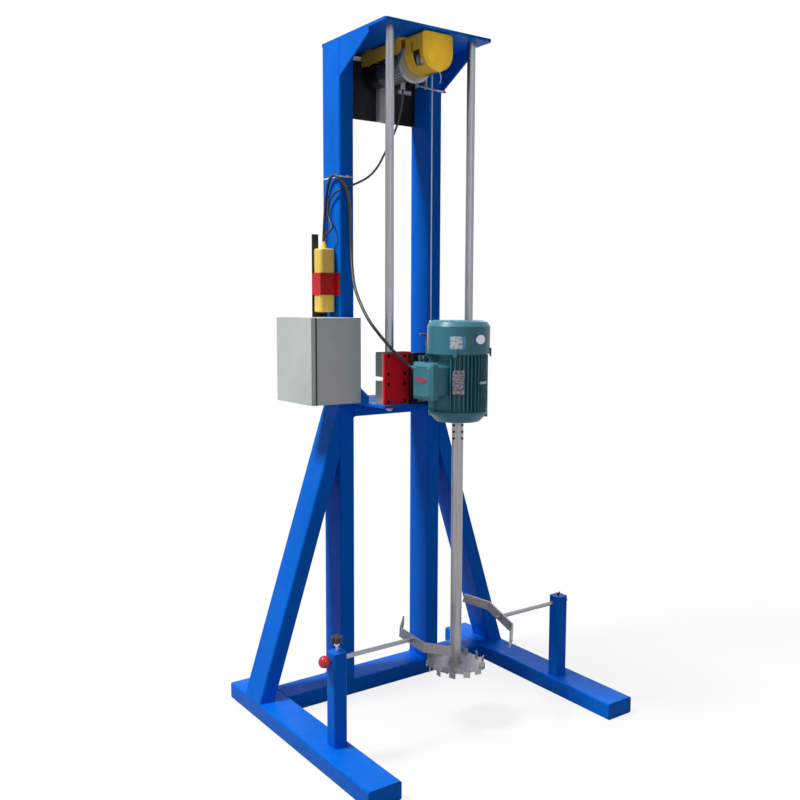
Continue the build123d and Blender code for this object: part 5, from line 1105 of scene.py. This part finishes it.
def make_floor():
    """Large pale floor: it keeps the object's soft shadow and runs into the white background."""
    mesh = bpy.data.meshes.new("floor")
    half = FLOOR_SIZE / 2
    mesh.from_pydata(
        [(-half, -half, 0), (half, -half, 0), (half, half, 0), (-half, half, 0)], [], [(0, 1, 2, 3)]
    )
    floor = bpy.data.objects.new("floor", mesh)
    bpy.context.collection.objects.link(floor)
    material = bpy.data.materials.new("floor_pale")
    material.use_nodes = True
    tree = material.node_tree
    tree.nodes.clear()
    out = tree.nodes.new("ShaderNodeOutputMaterial")
    matte = tree.nodes.new("ShaderNodeBsdfDiffuse")
    seen = seen_as_background(tree)
    pale = tree.nodes.new("ShaderNodeMapRange")
    pale.inputs["To Min"].default_value = FLOOR_BOUNCE
    pale.inputs["To Max"].default_value = FLOOR_SHOWN
    tree.links.new(seen, pale.inputs["Value"])
    tree.links.new(pale.outputs["Result"], matte.inputs["Color"])
    white = tree.nodes.new("ShaderNodeEmission")
    white.inputs["Strength"].default_value = 1.0
    place = tree.nodes.new("ShaderNodeTexCoord")
    away = tree.nodes.new("ShaderNodeVectorMath")
    away.operation = "LENGTH"
    tree.links.new(place.outputs["Object"], away.inputs[0])
    share = tree.nodes.new("ShaderNodeMapRange")
    share.inputs["From Min"].default_value = FLOOR_NEAR
    share.inputs["From Max"].default_value = FLOOR_FAR
    share.inputs["To Min"].default_value = 1 - FLOOR_SHADOW_SHARE
    share.inputs["To Max"].default_value = 1.0
    tree.links.new(away.outputs["Value"], share.inputs["Value"])
    shown = tree.nodes.new("ShaderNodeMath")
    shown.operation = "MULTIPLY"
    tree.links.new(seen, shown.inputs[0])
    tree.links.new(share.outputs["Result"], shown.inputs[1])
    mix = tree.nodes.new("ShaderNodeMixShader")
    tree.links.new(shown.outputs[0], mix.inputs["Fac"])
    tree.links.new(matte.outputs[0], mix.inputs[1])
    tree.links.new(white.outputs[0], mix.inputs[2])
    tree.links.new(mix.outputs[0], out.inputs["Surface"])
    mesh.materials.append(material)


def area_lamp(name, place, target, size, power, spread=180):
    """Soft square lamp that looks at a point."""
    data = bpy.data.lights.new(name, "AREA")
    data.shape = "SQUARE"
    data.size = size
    data.energy = power
    data.spread = math.radians(spread)
    lamp = bpy.data.objects.new(name, data)
    lamp.location = place
    lamp.rotation_euler = (Vector(target) - Vector(place)).to_track_quat("-Z", "Y").to_euler()
    bpy.context.collection.objects.link(lamp)


make_world()
make_floor()
area_lamp("key", (-4.4, 1.3, 7.6), target=(0, 0, 1.1), size=1.4, power=560)
area_lamp("front_fill", (-1.0, -4.5, 2.4), target=(0, 0, 1.1), size=2.4, power=16)
area_lamp("back_fill", (3.2, 2.6, 3.4), target=(0, 0, 1.2), size=2.4, power=34)
area_lamp("top", (-0.4, 0.4, 6.6), target=(0, 0, 0), size=2.4, power=120)
# A narrow lamp for the front of the hoist's case alone
area_lamp("head_fill", (-0.2, -1.25, 2.22), target=(-0.01, 0, 2.335), size=0.14, power=0.033, spread=13)

bpy.context.scene.view_settings.view_transform = "Standard"
